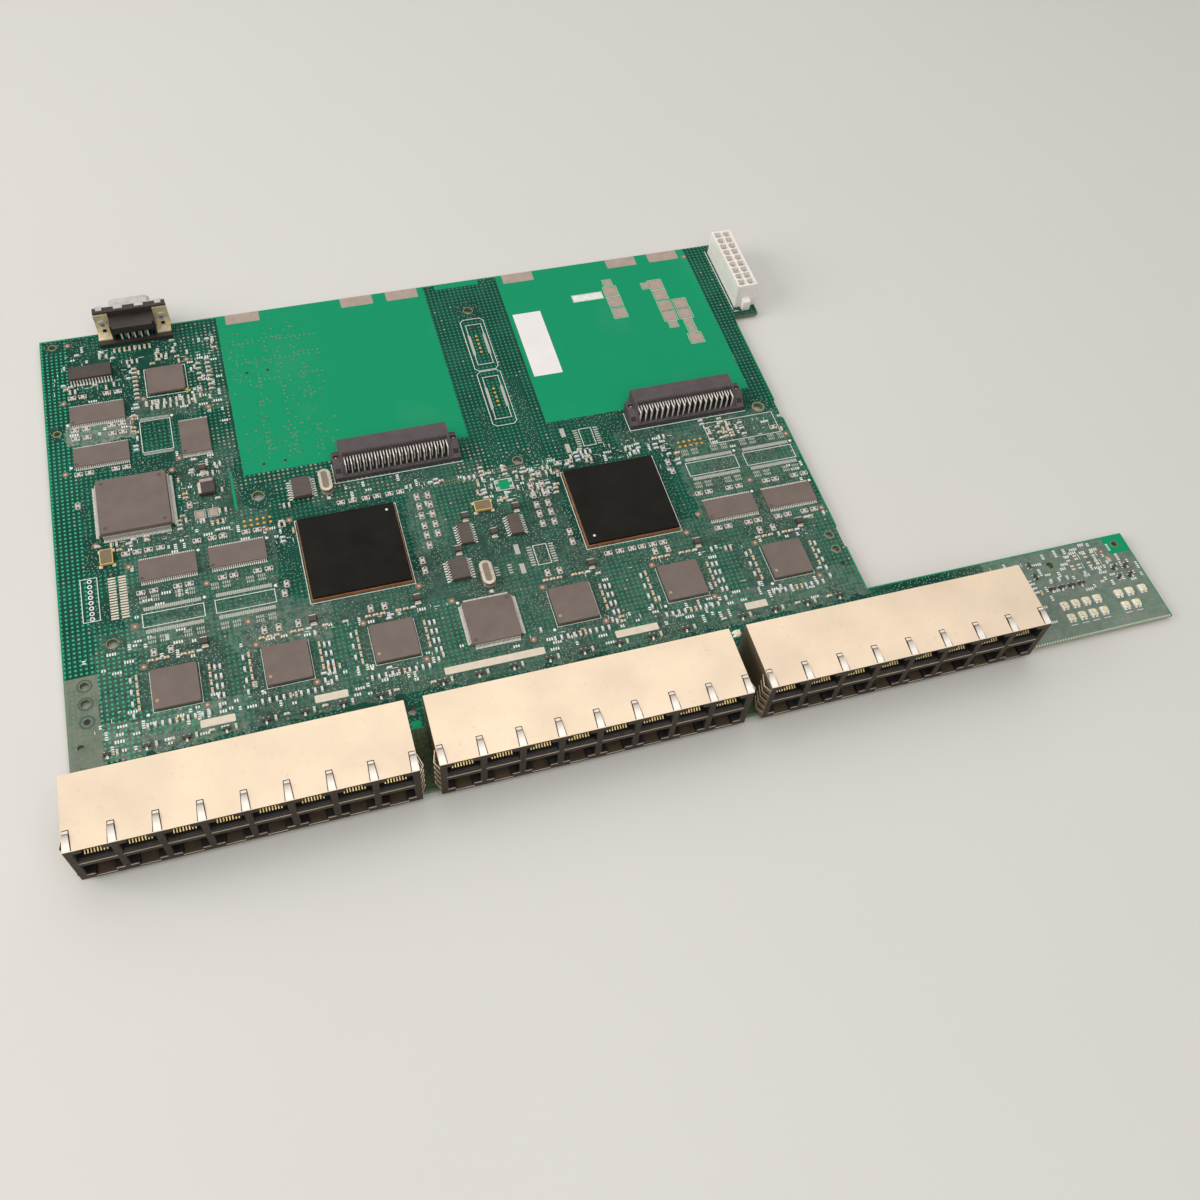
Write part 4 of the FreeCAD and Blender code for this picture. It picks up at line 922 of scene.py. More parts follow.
# Bodies: node, finish, draft, corner cut, foot, mould marks and how far these lie in from their corners
CHIP_BODIES = (
    ("processor_chip", "epoxy", 0.25, 0.6, 0.15, 4, 2.6),
    ("logic_chip", "epoxy", 0.12, 0.8, 0.1, 2, 1.8),
    ("controller_chip", "epoxy", 0.1, 0.9, 0.35, 0, 0),
    ("flash_chip", "epoxy", 0.08, 0.2, 0.08, 1, 1.3),
    ("line_driver_chip", "dark_epoxy", 0.2, 0.15, 0.15, 0, 0),
    *((f"clock_chip_{end}", "mid_epoxy", 0.2, 0.15, 0.15, 1, 1.2) for end in ("rear", "front")),
    *((f"buffer_chip_{side}", "mid_epoxy", 0.15, 0.12, 0.12, 0, 0) for side in ("left", "right")),
    *((f"port_chip_{i + 1}", "epoxy", 0.1, 0.5, 0.4, 0, 0) for i in range(6)),
    *((f"memory_chip_{i + 1}", "epoxy", 0.08, 0.2, 0.08, 1, 1.2) for i in range(6)),
)

# Leads: node, sides, leads a side, pitch, reach, width, height where they leave the body
CHIP_LEADS = (
    ("processor_chip", "xy", 52, 0.5, 1.35, 0.27, 1.75),
    ("logic_chip", "xy", 36, 0.5, 1.05, 0.26, 0.8),
    ("flash_chip", "y", 24, 0.5, 0.85, 0.26, 0.6),
    ("line_driver_chip", "y", 14, 1.27, 1.75, 0.55, 1.25),
    *((f"clock_chip_{end}", "x", 8, 1.27, 1.6, 0.55, 1.2) for end in ("rear", "front")),
    *((f"buffer_chip_{side}", "x", 8, 1.27, 1.2, 0.5, 0.9) for side in ("left", "right")),
    *((f"memory_chip_{i + 1}", "y", 27, 0.8, 0.85, 0.4, 0.6) for i in range(6)),
)
LEAD_THICK = 0.16
MARK_DIA, MARK_DEPTH = 1.5, 0.15


class SWITCHBOARD_OT_chips(bpy.types.Operator):
    """Model the moulded chips over their solids"""
    bl_idname = "switchboard.chips"
    bl_label = "Moulded chips"

    def execute(self, context):
        for node, finish, draft, chamfer, foot, marks, inward in CHIP_BODIES:
            low, high = node_box(node)
            piece = moulded_body(low, high, draft, chamfer, foot)
            closed(finish, "polished_epoxy")
            corners = ((low.x, low.y, 1, 1), (high.x, high.y, -1, -1), (high.x, low.y, -1, 1),
                       (low.x, high.y, 1, -1))
            for x, y, sx, sy in corners[:marks]:
                dimple(piece, x + sx * inward, y + sy * inward, high.z, MARK_DIA, MARK_DEPTH)
            # Dimple floors take the glossier epoxy, darkened as painted shade of the hollow
            for face in piece.data.polygons:
                if marks and face.normal.z > 0.9 and abs(face.center.z - high.z + MARK_DEPTH) < 0.05:
                    face.material_index = 1
            spread(piece, node + "_body", HERE, node)
        return {"FINISHED"}


class SWITCHBOARD_OT_chip_leads(bpy.types.Operator):
    """Bend one lead for each leaded chip and set it round the body"""
    bl_idname = "switchboard.chip_leads"
    bl_label = "Chip leads"

    def execute(self, context):
        pads = []
        for node, sides, count, pitch, reach, width, height in CHIP_LEADS:
            low, high = node_box(node)
            centre = (low + high) / 2
            lead = strip(width, LEAD_THICK,
                         ((-0.3, height), (0.28 * reach, height), (0.5 * reach, LEAD_THICK / 2),
                          (reach, LEAD_THICK / 2)), "tin")
            places = []
            for i in range(count):
                step = (i - (count - 1) / 2) * pitch
                if "x" in sides:
                    places += [(high.x, centre.y + step, 0, 0), (low.x, centre.y + step, 0, 180)]
                if "y" in sides:
                    places += [(centre.x + step, high.y, 0, 90), (centre.x + step, low.y, 0, -90)]
            spread(lead, node + "_leads", places)
            for x, y, _, turn in places:
                way = Matrix.Rotation(math.radians(turn), 3, "Z") @ Vector((0.5 * reach + 0.45, 0, 0))
                pads.append((x + way.x, y + way.y, 0.0, turn, (reach, width + 0.08, 1.0)))
        spread(unit_pad(0.05, "tin"), "lead_pads", pads)
        return {"FINISHED"}


class SWITCHBOARD_OT_switch_chips(bpy.types.Operator):
    """Finish the two large chips and lay the corner marks of these and other chips"""
    bl_idname = "switchboard.switch_chips"
    bl_label = "Switch chips"

    def execute(self, context):
        places = []
        for side, sx, sy in (("left", 1, 1), ("right", -1, -1)):
            coat(f"switch_chip_lid_{side}", "lid")
            coat(f"switch_chip_substrate_{side}", "carrier")
            low, high = node_box(f"switch_chip_lid_{side}")
            centre = (low + high) / 2
            places.append((centre.x + sx * 16.4, centre.y + sy * 16.2, high.z))
        spread(unit_dot(1.1, 0.02, "print", 20), "switch_chip_marks", places)
        gilt = [(x - 6.9, PORT_CHIP_Y - 5.0, node_box("port_chip_1")[1].z) for x in PORT_CHIP_X]
        spread(unit_dot(1.3, 0.01, "pin_one", 20), "port_chip_marks", gilt)
        low, high = node_box("controller_chip")
        spread(unit_pad(0.02, "yellow_dab"), "controller_mark",
               [(high.x + 0.35, low.y + 0.25, 0.0, -35.0, (2.6, 1.2, 1.0))])
        return {"FINISHED"}


# Cans, capacitors and lights

CRYSTALS = ("crystal_can_rear", "crystal_can_front")
OSCILLATORS = ("oscillator_left", "oscillator_middle")


class SWITCHBOARD_OT_cans(bpy.types.Operator):
    """Model the crystal cans and oscillators over their solids"""
    bl_idname = "switchboard.cans"
    bl_label = "Crystals and oscillators"

    def execute(self, context):
        for node in CRYSTALS:
            self.crystal(node, *node_box(node))
        for node in OSCILLATORS:
            self.oscillator(node, *node_box(node))
        return {"FINISHED"}

    def crystal(self, node, low, high):
        """A pressed stadium can on its flange, with a raised panel on top, painted with highlight and shade.
        """
        width, length = high.x - low.x, high.y - low.y
        disc(width, 40, 0)
        for way in (1, -1):
            pick(lambda vert: vert.co.y * way > 1e-4, "verts")
            bpy.ops.transform.translate(value=(0, way * (length - width) / 2, 0))
        pick(lambda face: True)
        extrude(0, 0, 0.55)
        pick(facing_up)
        inset(0.4)
        extrude(0, 0, high.z - 0.55)
        ease_top(0.55, 4)
        pick(facing_up)
        inset(0.35)
        inset(0.15, -0.12)
        # Painted highlight on the flange and shoulders, painted shade on the step round the panel
        paint(lambda face: middle(face).z < 0.56 or middle(face).z > high.z - 0.6, 1)
        paint(lambda face: high.z - 0.11 < middle(face).z < high.z - 0.01 and abs(face.normal.z) < 0.9, 2)
        paint(lambda face: facing_up(face) and 1.0 < middle(face).z < high.z - 0.1, 0)
        outward()
        piece = closed("nickel", "bright_can", "gilt")
        bpy.ops.object.shade_smooth_by_angle(angle=math.radians(35))
        spread(piece, node + "_body", [((low.x + high.x) / 2, (low.y + high.y) / 2, 0)], node)

    def oscillator(self, node, low, high):
        """A gilt can with a brown lid, on a foot painted black as the shadow under the can."""
        block(low.x, high.x, low.y, high.y, 0.45, high.z - 0.1)
        pick(upright, "edges")
        ease(0.4, 2)
        pick(facing_up)
        inset(0.32)
        extrude(0, 0, 0.1)
        paint(lambda face: middle(face).z > high.z - 0.08, 1)
        pick(facing_down)
        inset(0.25)
        extrude(0, 0, -0.45)
        # The foot is painted black as the shadow under the can
        paint(lambda face: middle(face).z < 0.44, 2)
        spread(closed("gilt_rim", "gilt", "hole_dark"), node + "_body", HERE, node)


# Places of the tantalum capacitors: x, y
TANTALUM = ([(x + 12.2, 83.6) for x in PORT_CHIP_X]
            + [(158.3, 118.6), (180.0, 118.6), (168.0, 108.0), (152.0, 102.8), (58.7, 168.0)])


class SWITCHBOARD_OT_capacitors(bpy.types.Operator):
    """Model the tantalum capacitors and the voltage regulator over their solids"""
    bl_idname = "switchboard.capacitors"
    bl_label = "Capacitors and regulator"

    def execute(self, context):
        block(-1.5, 1.5, -1.5, 1.5, 0.15, 0.95)
        pick(facing_up)
        extrude(0, 0, 0.95)
        bpy.ops.transform.resize(value=(0.86, 0.9, 1), center_override=(0, 0, 0))
        pick(upright, "edges")
        ease(0.12)
        slice_at((0, 0.95, 0), (0, 1, 0))
        paint(lambda face: middle(face).y > 0.96 and face.normal.z > 0.5, 1)
        made = set_out(closed("dark_epoxy", "alumina"), [(x, y, 0) for x, y in TANTALUM])
        foot = strip(2.2, 0.14, ((-0.4, 0.07), (0.2, 0.07), (0.2, 1.0)), "tin")
        made += set_out(foot, [(x, y + way * 1.5, 0, way * 90) for way in (1, -1) for x, y in TANTALUM])
        join(made, "tantalum_capacitor_bodies", "tantalum_capacitors")
        self.regulator()
        return {"FINISHED"}

    def regulator(self):
        """A moulded power package with its metal tab at the rear."""
        low, high = node_box("voltage_regulator")
        rear = high.y - 2.6
        moulded_body(Vector((low.x, low.y, 0)), Vector((high.x, rear, high.z)), 0.3, 0.2, 0.05)
        slice_at((low.x + 1.3, 0, 0), (1, 0, 0))
        paint(lambda face: middle(face).x < low.x + 1.3 and middle(face).z > 1.2 and face.normal.y > -0.5, 1)
        made = set_out(closed("dark_epoxy", "alumina"), HERE)
        block(low.x + 0.9, high.x - 0.9, rear - 0.5, high.y, 0.05, 0.6)
        pick(upright, "edges")
        ease(0.35, 2)
        join(made + set_out(closed("pad_tin"), HERE), "voltage_regulator_body",
             "voltage_regulator")


# Status lights: columns on the strip, all places, and the finishes of case, lens and legs
LIGHT_COLUMNS = (385.9, 391.05, 396.2, 401.35, 411.65, 416.8)
LIGHT_STRETCH = (1.14, 1.12, 1.0)
LIGHTS = [(x, y, 0.0, 0.0, LIGHT_STRETCH) for x in LIGHT_COLUMNS for y in (17.1, 11.1)] \
    + [(422.98, 17.1, 0.0, 0.0, LIGHT_STRETCH), (248.9, 37.5, 0.0, -90.0)]
LIGHT_FINISHES = ("lamp_case", "lamp", "bright_tin")


class SWITCHBOARD_OT_status_lights(bpy.types.Operator):
    """Model the status lights over their solids"""
    bl_idname = "switchboard.status_lights"
    bl_label = "Status lights"

    def execute(self, context):
        block(-1.45, 1.45, -0.95, 1.7, 0.0, 0.95)
        pick(lambda edge: upright(edge) and middle(edge).x > 1.4 and middle(edge).y > 1.6, "edges")
        ease(0.7)
        ease_top(0.12)
        case = closed(*LIGHT_FINISHES)
        disc(2.1, 20, 0.9)
        pick(lambda face: True)
        extrude(0, 0, 0.7)
        ease_top(0.4, 3)
        paint(lambda face: True, 1)
        outward()
        lens = closed(*LIGHT_FINISHES)
        lens.data.transform(Matrix.Translation((0.2, 0.42, 0)))
        legs = []
        for x in (-0.78, 0.78):
            leg = strip(0.95, 0.25, ((-0.3, 0.55), (0.1, 0.55), (0.25, 0.13), (0.75, 0.13)), *LIGHT_FINISHES)
            for face in leg.data.polygons:
                face.material_index = 2
            leg.data.transform(Matrix.Rotation(-math.pi / 2, 4, "Z"))
            leg.data.transform(Matrix.Translation((x, -0.95, 0)))
            legs.append(leg)
        clear_selection()
        for piece in (case, lens, *legs):
            piece.select_set(True)
        bpy.context.view_layer.objects.active = case
        bpy.ops.object.join()
        spread(bpy.context.object, "status_light_bodies", LIGHTS, "status_leds")
        return {"FINISHED"}


# Small parts

def runs(*rows):
    """Places of several rows, each given as x, y, count, step in x, step in y and turn."""
    return [(x + i * dx, y + i * dy, 0.0, turn) for x, y, count, dx, dy, turn in rows for i in range(count)]


def turned(turn, *rows):
    """Places given as a y and its x places, all lying the same way."""
    return [(x, y, 0.0, turn) for y, row in rows for x in row]


# Resistor arrays that lie along x, and those that lie along y
ARRAY_PLACES = turned(
    0, (219.0, (10.2, 14.5, 24.5, 29.0)), (200.3, (10.2, 14.8, 25.0, 29.2)),
    (195.6, (10.2, 14.8, 25.0, 29.2)), (176.0, (10.2, 14.5, 24.8, 29.0)),
    (131.5, (25.0, 29.3, 33.7, 38.3, 52.3, 58.3, 62.5, 71.5, 76.0)),
    (111.5, (29.0, 33.8, 42.8, 47.2, 59.8, 64.2, 73.3, 77.8)),
    (137.5, (110.7, 115.5, 121.0, 125.6, 130.8, 135.3, 203.3, 208.3)),
    (87.0, (210.8, 215.8, 221.0, 225.3, 230.0, 234.5)),
    (107.8, (257.5, 262.0, 271.3, 275.7, 288.3, 292.5, 301.5, 306.0)),
    (88.5, (259.5, 264.0, 273.0, 277.3, 286.5, 290.8, 298.5, 303.0)), (135.8, (302.4,)),) + turned(
    90, (83.3, (31.2, 37.4, 72.0, 77.5, 84.9, 112.8, 118.2, 184.3, 189.3, 230.0, 235.5, 276.3, 282.3)),
    (133.0, (141.4, 146.0)), (128.0, (141.4, 146.0, 188.9, 193.8)), (123.0, (141.4, 146.0, 188.9, 193.8)),
    (117.7, (141.4, 146.0, 188.9, 193.8)), (112.9, (141.4, 146.0, 188.9, 193.8)),
    (107.7, (141.4, 188.9, 193.8)), (133.5, (193.8,)), (101.0, (137.0, 198.5)), (96.0, (137.0, 198.3)),
    (135.0, (250.5,)), (127.0, (250.0,)), (122.0, (250.5,)), (150.0, (51.5,)), (159.5, (8.8,)),
    (213.0, (62.7,)), (102.5, (83.4,)), (98.3, (82.0,)))
# Transistors: the row behind the jacks, and all places
TRANSISTOR_X = (11.5, 25.0, 39.0, 53.0, 67.2, 81.2, 95.3, 109.2, 132.8, 146.7, 160.3, 174.5, 188.3, 202.4,
                216.3, 230.3, 254.0, 268.0, 282.0, 296.3)
TRANSISTOR_PLACES = turned(0.0, (44.8, TRANSISTOR_X), (26.0, (385.0, 389.5, 394.2, 398.7))) \
    + turned(90.0, (39.0, (381.0,)), (33.3, (381.0,))) \
    + turned(40.0, (29.8, (416.6,)), (29.6, (421.9,)), (25.0, (416.6,)), (24.9, (421.8,)))
# Places on the light strip with bare pads: x, y
STRIP_PADS = [(x, y)
              for y, row in ((38.4, (399.1, 402.9, 407.4, 411.1)), (33.9, (399.2, 402.4, 407.3, 410.9)))
              for x in row]


def chip_places():
    """Places of the chip parts by tint."""
    orange = runs((29.5, 243.5, 8, 2.14, 0, 90), (379.5, 25.5, 1, 0, 0, 90), (416.0, 34.1, 1, 0, 0, 90))
    pale = runs((386.4, 29.8, 3, 3.8, 0, 90), (402.8, 30.0, 2, 7.0, 0, 90))
    cream = runs((23.0, 241.0, 2, 3.0, 0, 90), (40.0, 209.3, 10, 2.5, 0, 90), (42.0, 206.3, 8, 2.6, 0, 90),
                 *[(x, 135.0, 3, 0, 3.2, 0) for x in (273.0, 278.0, 283.0, 288.5)],
                 (36.6, 213.0, 8, 0, 2.5, 0), (63.6, 219.0, 4, 0, 3.0, 0), (67.6, 212.0, 8, 0, 2.6, 0))
    cream += [(x + 3.5, 45.0, 0.0, 90.0) for x in TRANSISTOR_X]
    for x in PORT_CHIP_X:
        pale += runs((x - 15.7, 58.0, 4, 0, 5.05, 90), (x + 14.5, 54.8, 5, 0, 4.2, 90),
                     (x + 16.4, 59.0, 4, 0, 4.2, 90), (x - 11.3, 52.8, 4, 2.6, 0, 90),
                     (x + 2.9, 52.8, 4, 2.55, 0, 90), (x + 10.0, 80.0, 1, 0, 0, 0))
        orange += runs((x - 13.5, 60.8, 5, 0, 3.3, 90), (x + 12.6, 62.0, 4, 0, 3.4, 90),
                       (x - 7.7, 80.0, 3, 2.85, 0, 0), (x + 4.2, 80.0, 2, 2.8, 0, 0),
                       (x - 1.1, 52.8, 2, 2.1, 0, 90))
        cream += runs((x - 3.5, 45.4, 1, 0, 0, 0), (x + 10.5, 45.4, 1, 0, 0, 0))
    return {"orange_ceramic": orange, "pale_ceramic": pale, "cream_ceramic": cream}


# Zones filled with further chip parts: x range, y range, count
SCATTER_ZONES = ((3, 72, 222, 246, 30), (32, 36, 176, 208, 7), (48, 66, 140, 180, 22), (14, 86, 133, 142, 22),
                 (84, 142, 77, 92, 26), (138, 202, 82, 140, 190), (198, 256, 78, 94, 22),
                 (198, 256, 134, 143, 20), (248, 310, 77, 87, 16), (82, 92, 96, 132, 14),
                 (246, 256, 96, 134, 16), (6, 310, 54, 62, 20), (364, 378, 14, 44, 8), (6, 34, 222, 228, 8),
                 (270, 304, 133, 144, 10))
# Zones with further print ticks only: x range, y range, count
TICK_ZONES = ((4, 306, 46, 60, 60), (24, 82, 104, 112, 12), (256, 306, 104, 112, 14), (382, 426, 22, 43, 26),
              (366, 378, 6, 40, 16), (34, 74, 203, 212, 16), (60, 72, 186, 246, 20), (100, 136, 138, 146, 10),
              (392, 416, 40, 44, 10), (382, 428, 22, 44, 40), (6, 34, 190, 226, 16), (20, 84, 84, 142, 60),
              (254, 308, 84, 146, 50), (140, 200, 82, 140, 50), (4, 306, 48, 60, 60), (6, 306, 74, 90, 70),
              (60, 96, 76, 92, 30), (136, 202, 80, 94, 90), (8, 34, 192, 204, 24), (22, 82, 126, 143, 40),
              (10, 60, 44, 57, 40), (138, 202, 95, 140, 40), (380, 427, 21, 44, 40), (24, 82, 84, 96, 30))
# Holes that parts and print keep clear of: x, y, reach
HOLES = ((16.8, 91.0, 3.4), (5.6, 75.0, 2.6), (5.6, 67.3, 2.8), (5.6, 59.7, 2.2), (2.8, 49.8, 2.0),
         (3.0, 200.0, 2.6), (3.7, 251.0, 2.8), (304.2, 74.3, 2.4), (304.2, 66.8, 2.4), (304.2, 59.5, 2.0),
         (390.0, 37.3, 2.6), (423.2, 40.8, 2.4), (119.1, 35.5, 2.8), (248.9, 37.5, 2.4), (78.7, 148.7, 5.0),
         (300.2, 148.7, 5.0), (187.1, 143.0, 4.0), (187.1, 235.6, 4.0))
# Limits of the ground for small parts, the height below which a solid takes its ground, the margins round
# solids and parts, and the ground that arrays and transistors take
LEFT_LIMIT, RIGHT_LIMIT, REAR_LIMIT = -0.7, 308.4, 254.7
STRIP_RIGHT, STRIP_REAR = 428.0, 44.6
LOW_SOLID = 3.0
SOLID_MARGIN, PART_MARGIN = 1.2, 0.35
ARRAY_GROUND = (3.2, 1.7)
TRANSISTOR_GROUND = (3.0, 2.6)
CHIP_STEP = 2.1


class Ground:
    """Keeps note of the parts of the board that are taken."""

    def __init__(self, transistors=()):
        self.boxes = []
        for x, y, reach in HOLES:
            self.take(x - reach, x + reach, y - reach, y + reach)
        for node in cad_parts:
            if node != "circuit_board":
                low, high = node_box(node)
                if low.z < LOW_SOLID:
                    self.take(low.x, high.x, low.y, high.y, SOLID_MARGIN)
        for place in ARRAY_PLACES:
            self.claim(place, *ARRAY_GROUND)
        for place in transistors:
            self.claim(place, *TRANSISTOR_GROUND)
        for box in TIN_PADS + BARE_GROUND:
            self.take(*box)

    def take(self, x0, x1, y0, y1, margin=PART_MARGIN):
        self.boxes.append((x0 - margin, x1 + margin, y0 - margin, y1 + margin))

    def free(self, x0, x1, y0, y1):
        """True when a rectangle lies on the board and on nothing else."""
        if x0 < LEFT_LIMIT or y1 > REAR_LIMIT or x1 > (STRIP_RIGHT if y1 < STRIP_REAR else RIGHT_LIMIT):
            return False
        return all(x1 < a or x0 > b or y1 < c or y0 > d for a, b, c, d in self.boxes)

    def claim(self, place, length, width):
        """Takes the ground under a part when it is free."""
        x, y, _, turn = place
        if turn % 180:
            length, width = width, length
        box = (x - length / 2, x + length / 2, y - width / 2, y + width / 2)
        if not self.free(*box):
            return False
        self.take(*box)
        return True


def chip_master(body, finish):
    """A chip part: body with two end caps standing a little proud."""
    length, width, height = body
    block(-length / 2, length / 2, -width / 2, width / 2, 0.03, height)
    for x in (-0.3 * length, 0.3 * length):
        slice_at((x, 0, 0), (1, 0, 0))
    pick(lambda face: abs(middle(face).x) > 0.31 * length)
    bpy.ops.mesh.extrude_region_shrink_fatten(TRANSFORM_OT_shrink_fatten={"value": 0.03})
    paint(lambda face: abs(middle(face).x) > 0.3 * length, 1)
    for way in (1, -1):
        pick(lambda face: face.normal.x * way > 0.9 and abs(middle(face).x) > 0.45 * length)
        extrude(0.4 * way, 0, 0)
        bpy.ops.transform.resize(value=(1, 1.05, 0.12), center_override=(0, 0, 0))
    return closed(finish, "tin")


class SWITCHBOARD_OT_chip_parts(bpy.types.Operator):
    """Model one chip part for each tint and set it out, by list and then over the open ground"""
    bl_idname = "switchboard.chip_parts"
    bl_label = "Chip parts"

    def execute(self, context):
        sizes = looks().sizes
        body = (sizes.chip_length / MM, sizes.chip_width / MM, sizes.chip_height / MM)
        ground = Ground(TRANSISTOR_PLACES)
        places = {tint: [p for p in listed if ground.claim(p, *body[:2])]
                  for tint, listed in chip_places().items()}
        dice = random.Random(sizes.seed)
        tints = ("orange_ceramic", "pale_ceramic", "cream_ceramic", "cream_ceramic", "pale_ceramic")
        for x0, x1, y0, y1, count in SCATTER_ZONES:
            for _ in range(count):
                x, y = dice.uniform(x0, x1), dice.uniform(y0, y1)
                turn, tint, length = dice.choice((0.0, 90.0)), dice.choice(tints), dice.randint(1, 3)
                dx, dy = (CHIP_STEP, 0.0) if turn else (0.0, CHIP_STEP)
                places[tint] += [p for p in runs((x, y, length, dx, dy, turn)) if ground.claim(p, *body[:2])]
        for tint, chosen in places.items():
            spread(chip_master(body, tint), "chip_parts_" + tint, chosen)
        return {"FINISHED"}


class SWITCHBOARD_OT_arrays(bpy.types.Operator):
    """Model one resistor array with its side terminals and set it out"""
    bl_idname = "switchboard.arrays"
    bl_label = "Resistor arrays"

    def execute(self, context):
        block(-1.6, 1.6, -0.6, 0.6, 0.03, 0.55)
        for x in (-1.4, -1.0, -0.6, -0.2, 0.2, 0.6, 1.0, 1.4):
            slice_at((x, 0, 0), (1, 0, 0))
        for y in (-0.4, 0.4):
            slice_at((0, y, 0), (0, 1, 0))
        for way in (1, -1):
            pick(lambda face: face.normal.y * way > 0.9 and round(abs(middle(face).x) * 10) in (4, 12))
            extrude(0, 0.4 * way, 0)
            bpy.ops.transform.resize(value=(1, 1, 0.4), center_override=(0, 0, 0))
        paint(lambda face: abs(middle(face).y) > 0.61, 1)
        pick(lambda face: facing_up(face) and 0.6 < abs(middle(face).x) < 1.4 and abs(middle(face).y) < 0.3)
        inset(0.02, 0.02)
        paint(lambda face: face.select, 2)
        spread(closed("alumina", "tin", "black_glaze"), "resistor_arrays",
               [(*place, (1.05, 1.15, 1.0)) for place in ARRAY_PLACES])
        return {"FINISHED"}


class SWITCHBOARD_OT_transistors(bpy.types.Operator):
    """Model one three-legged transistor and set it out"""
    bl_idname = "switchboard.transistors"
    bl_label = "Transistors"

    def execute(self, context):
        moulded_body(Vector((-1.45, -0.65, 0.1)), Vector((1.45, 0.65, 1.0)), 0.08, 0.1)
        made = set_out(closed("dark_epoxy"), TRANSISTOR_PLACES)
        leg = strip(0.45, 0.14, ((-0.1, 0.5), (0.2, 0.5), (0.32, 0.07), (0.65, 0.07)), "tin")
        # The front foot is tin painted lighter, as its highlight
        tip = strip(0.75, 0.16, ((-0.1, 0.5), (0.2, 0.5), (0.35, 0.08), (1.1, 0.08)), "bright_tin")
        for x, y, z, turn in TRANSISTOR_PLACES:
            turn_by = Matrix.Rotation(math.radians(turn), 3, "Z")
            for piece, lx, ly, way in ((tip, 0.0, -0.65, -90), (leg, -0.95, 0.65, 90), (leg, 0.95, 0.65, 90)):
                foot = turn_by @ Vector((lx, ly, 0))
                made += copies_of(piece, [(x + foot.x, y + foot.y, z, turn + way)])
        for master in (leg, tip):
            bpy.data.objects.remove(master)
        join(made, "transistors")
        return {"FINISHED"}


# Pads, marks and print

def pad_row(x, y, count, dx, dy, width, depth):
    """Rectangles of a row of pads."""
    return [(x + i * dx - width / 2, x + i * dx + width / 2, y + i * dy - depth / 2, y + i * dy + depth / 2)
            for i in range(count)]


def squares(side, *places):
    """Rectangles of square pads."""
    return [(x - side / 2, x + side / 2, y - side / 2, y + side / 2) for x, y in places]


# Pads of arrays that aren't fitted: y and x places
EMPTY_RIGHT = (259.0, 263.5, 272.5, 277.0, 286.0, 290.5, 299.5, 304.0)
EMPTY_ARRAYS = ((89.2, (31.0, 35.5, 44.3, 49.0, 58.0, 62.5, 71.2, 75.8)),
                (108.2, (29.5, 34.0, 43.0, 47.5, 56.5, 61.0, 70.0, 74.5)), (112.2, EMPTY_RIGHT),
                (130.6, EMPTY_RIGHT))
# Bare pads as x range and y range: along the rear edge, for tests, and bars in front of the port chips
REAR_EDGE = 255.5
REAR_PADS = [(a, b, 249.5, REAR_EDGE)
             for a, b in ((78.5, 93.5), (130.7, 145.5), (151.8, 166.6), (207.8, 222.7), (259.7, 274.5),
                          (281.0, 296.0))]
TEST_PADS = (squares(6.0, (256.5, 234), (256.5, 227), (256.5, 219.3), (279.2, 234), (279.2, 227),
                     (279.2, 219.3), (279.2, 212.5), (286.9, 219.3), (286.9, 212.5), (286.9, 196))
             + squares(3.6, (256.5, 240), (274.2, 234.2), (279.2, 206.8), (286.9, 206.8), (286.9, 202))
             + squares(3.4, (55.0, 144.5), (60.3, 144.5)))
BARS = [(a, b, 47.3, 50.5)
        for a, b in ((44.2, 56.7), (85.5, 97.8), (134.4, 173.7), (202.4, 220.0), (257.0, 266.3))]
TIN_PADS = REAR_PADS + TEST_PADS + BARS
# Tinned strips beside the header pads, and the frames printed round both: x range, y range
STRIPS = [(x - 0.65, x + 0.65, y, y + 12.4) for x in (183.75, 190.7) for y in (207.0, 174.0)]
HEADER_FRAMES = ((181.6, 192.6, 163.5, 196.6), (181.6, 192.6, 197.0, 230.0))
# Other printed frames, the one of them that parts may stand in, and ground that stays bare of small parts
PART_FRAME = (272.0, 305.0, 132.5, 144.8)
FRAMES = ((183.6, 190.9, 200.8, 226.3), (183.6, 190.9, 167.5, 193.0), (7.0, 13.5, 102.5, 123.0),
          (36.0, 48.7, 182.0, 199.6), (28.3, 51.5, 95.2, 101.6), (55.5, 78.5, 95.2, 101.6),
          (257.0, 280.0, 117.4, 124.8), (283.5, 306.5, 117.4, 124.8), (40.5, 58.1, 212.7, 229.5), PART_FRAME,
          (181.6, 187.4, 88.0, 98.0), (217.1, 222.9, 144.0, 154.0), (174.4, 182.1, 128.6, 134.4),
          (237.0, 252.0, 230.3, 235.0))
BARE_GROUND = [box for box in FRAMES if box != PART_FRAME] + list(HEADER_FRAMES) + [
    (17.0, 24.0, 101.0, 122.0), (70.0, 83.5, 133.0, 138.5), (256.5, 270.0, 133.0, 138.5),
    (147.5, 165.0, 119.5, 137.0), (297.5, 309.0, 44.0, 84.0), (66.5, 86.0, 139.5, 166.0),
    (165.0, 176.0, 60.0, 86.0)]


def pad_places(rectangles):
    """Places that stretch a unit pad over rectangles."""
    return [((a + b) / 2, (c + d) / 2, 0.0, 0.0, (b - a, d - c, 1.0)) for a, b, c, d in rectangles]


def unit_pad(height, finish):
    """A unit square raised off the board, its corners just cut."""
    plate(-0.5, 0.5, -0.5, 0.5, 0)
    thicken(height)
    pick(upright, "edges")
    ease(0.04)
    return closed(finish)


def unit_dot(dia, height, finish, sides=16):
    """A round pad or dot raised off the board."""
    disc(dia, sides, 0)
    thicken(height)
    return closed(finish)


def hole_mark(dia, ring, height, finish):
    """A ring raised off the board round a disc painted black as the shade of a hole."""
    disc(dia, 24, 0)
    all_open()
    extrude(0, 0, height)
    pick(facing_up)
    inset(ring)
    inset(0.02, -0.02)
    paint(lambda face: face.select, 1)
    outward()
    return closed(finish, "hole_dark")


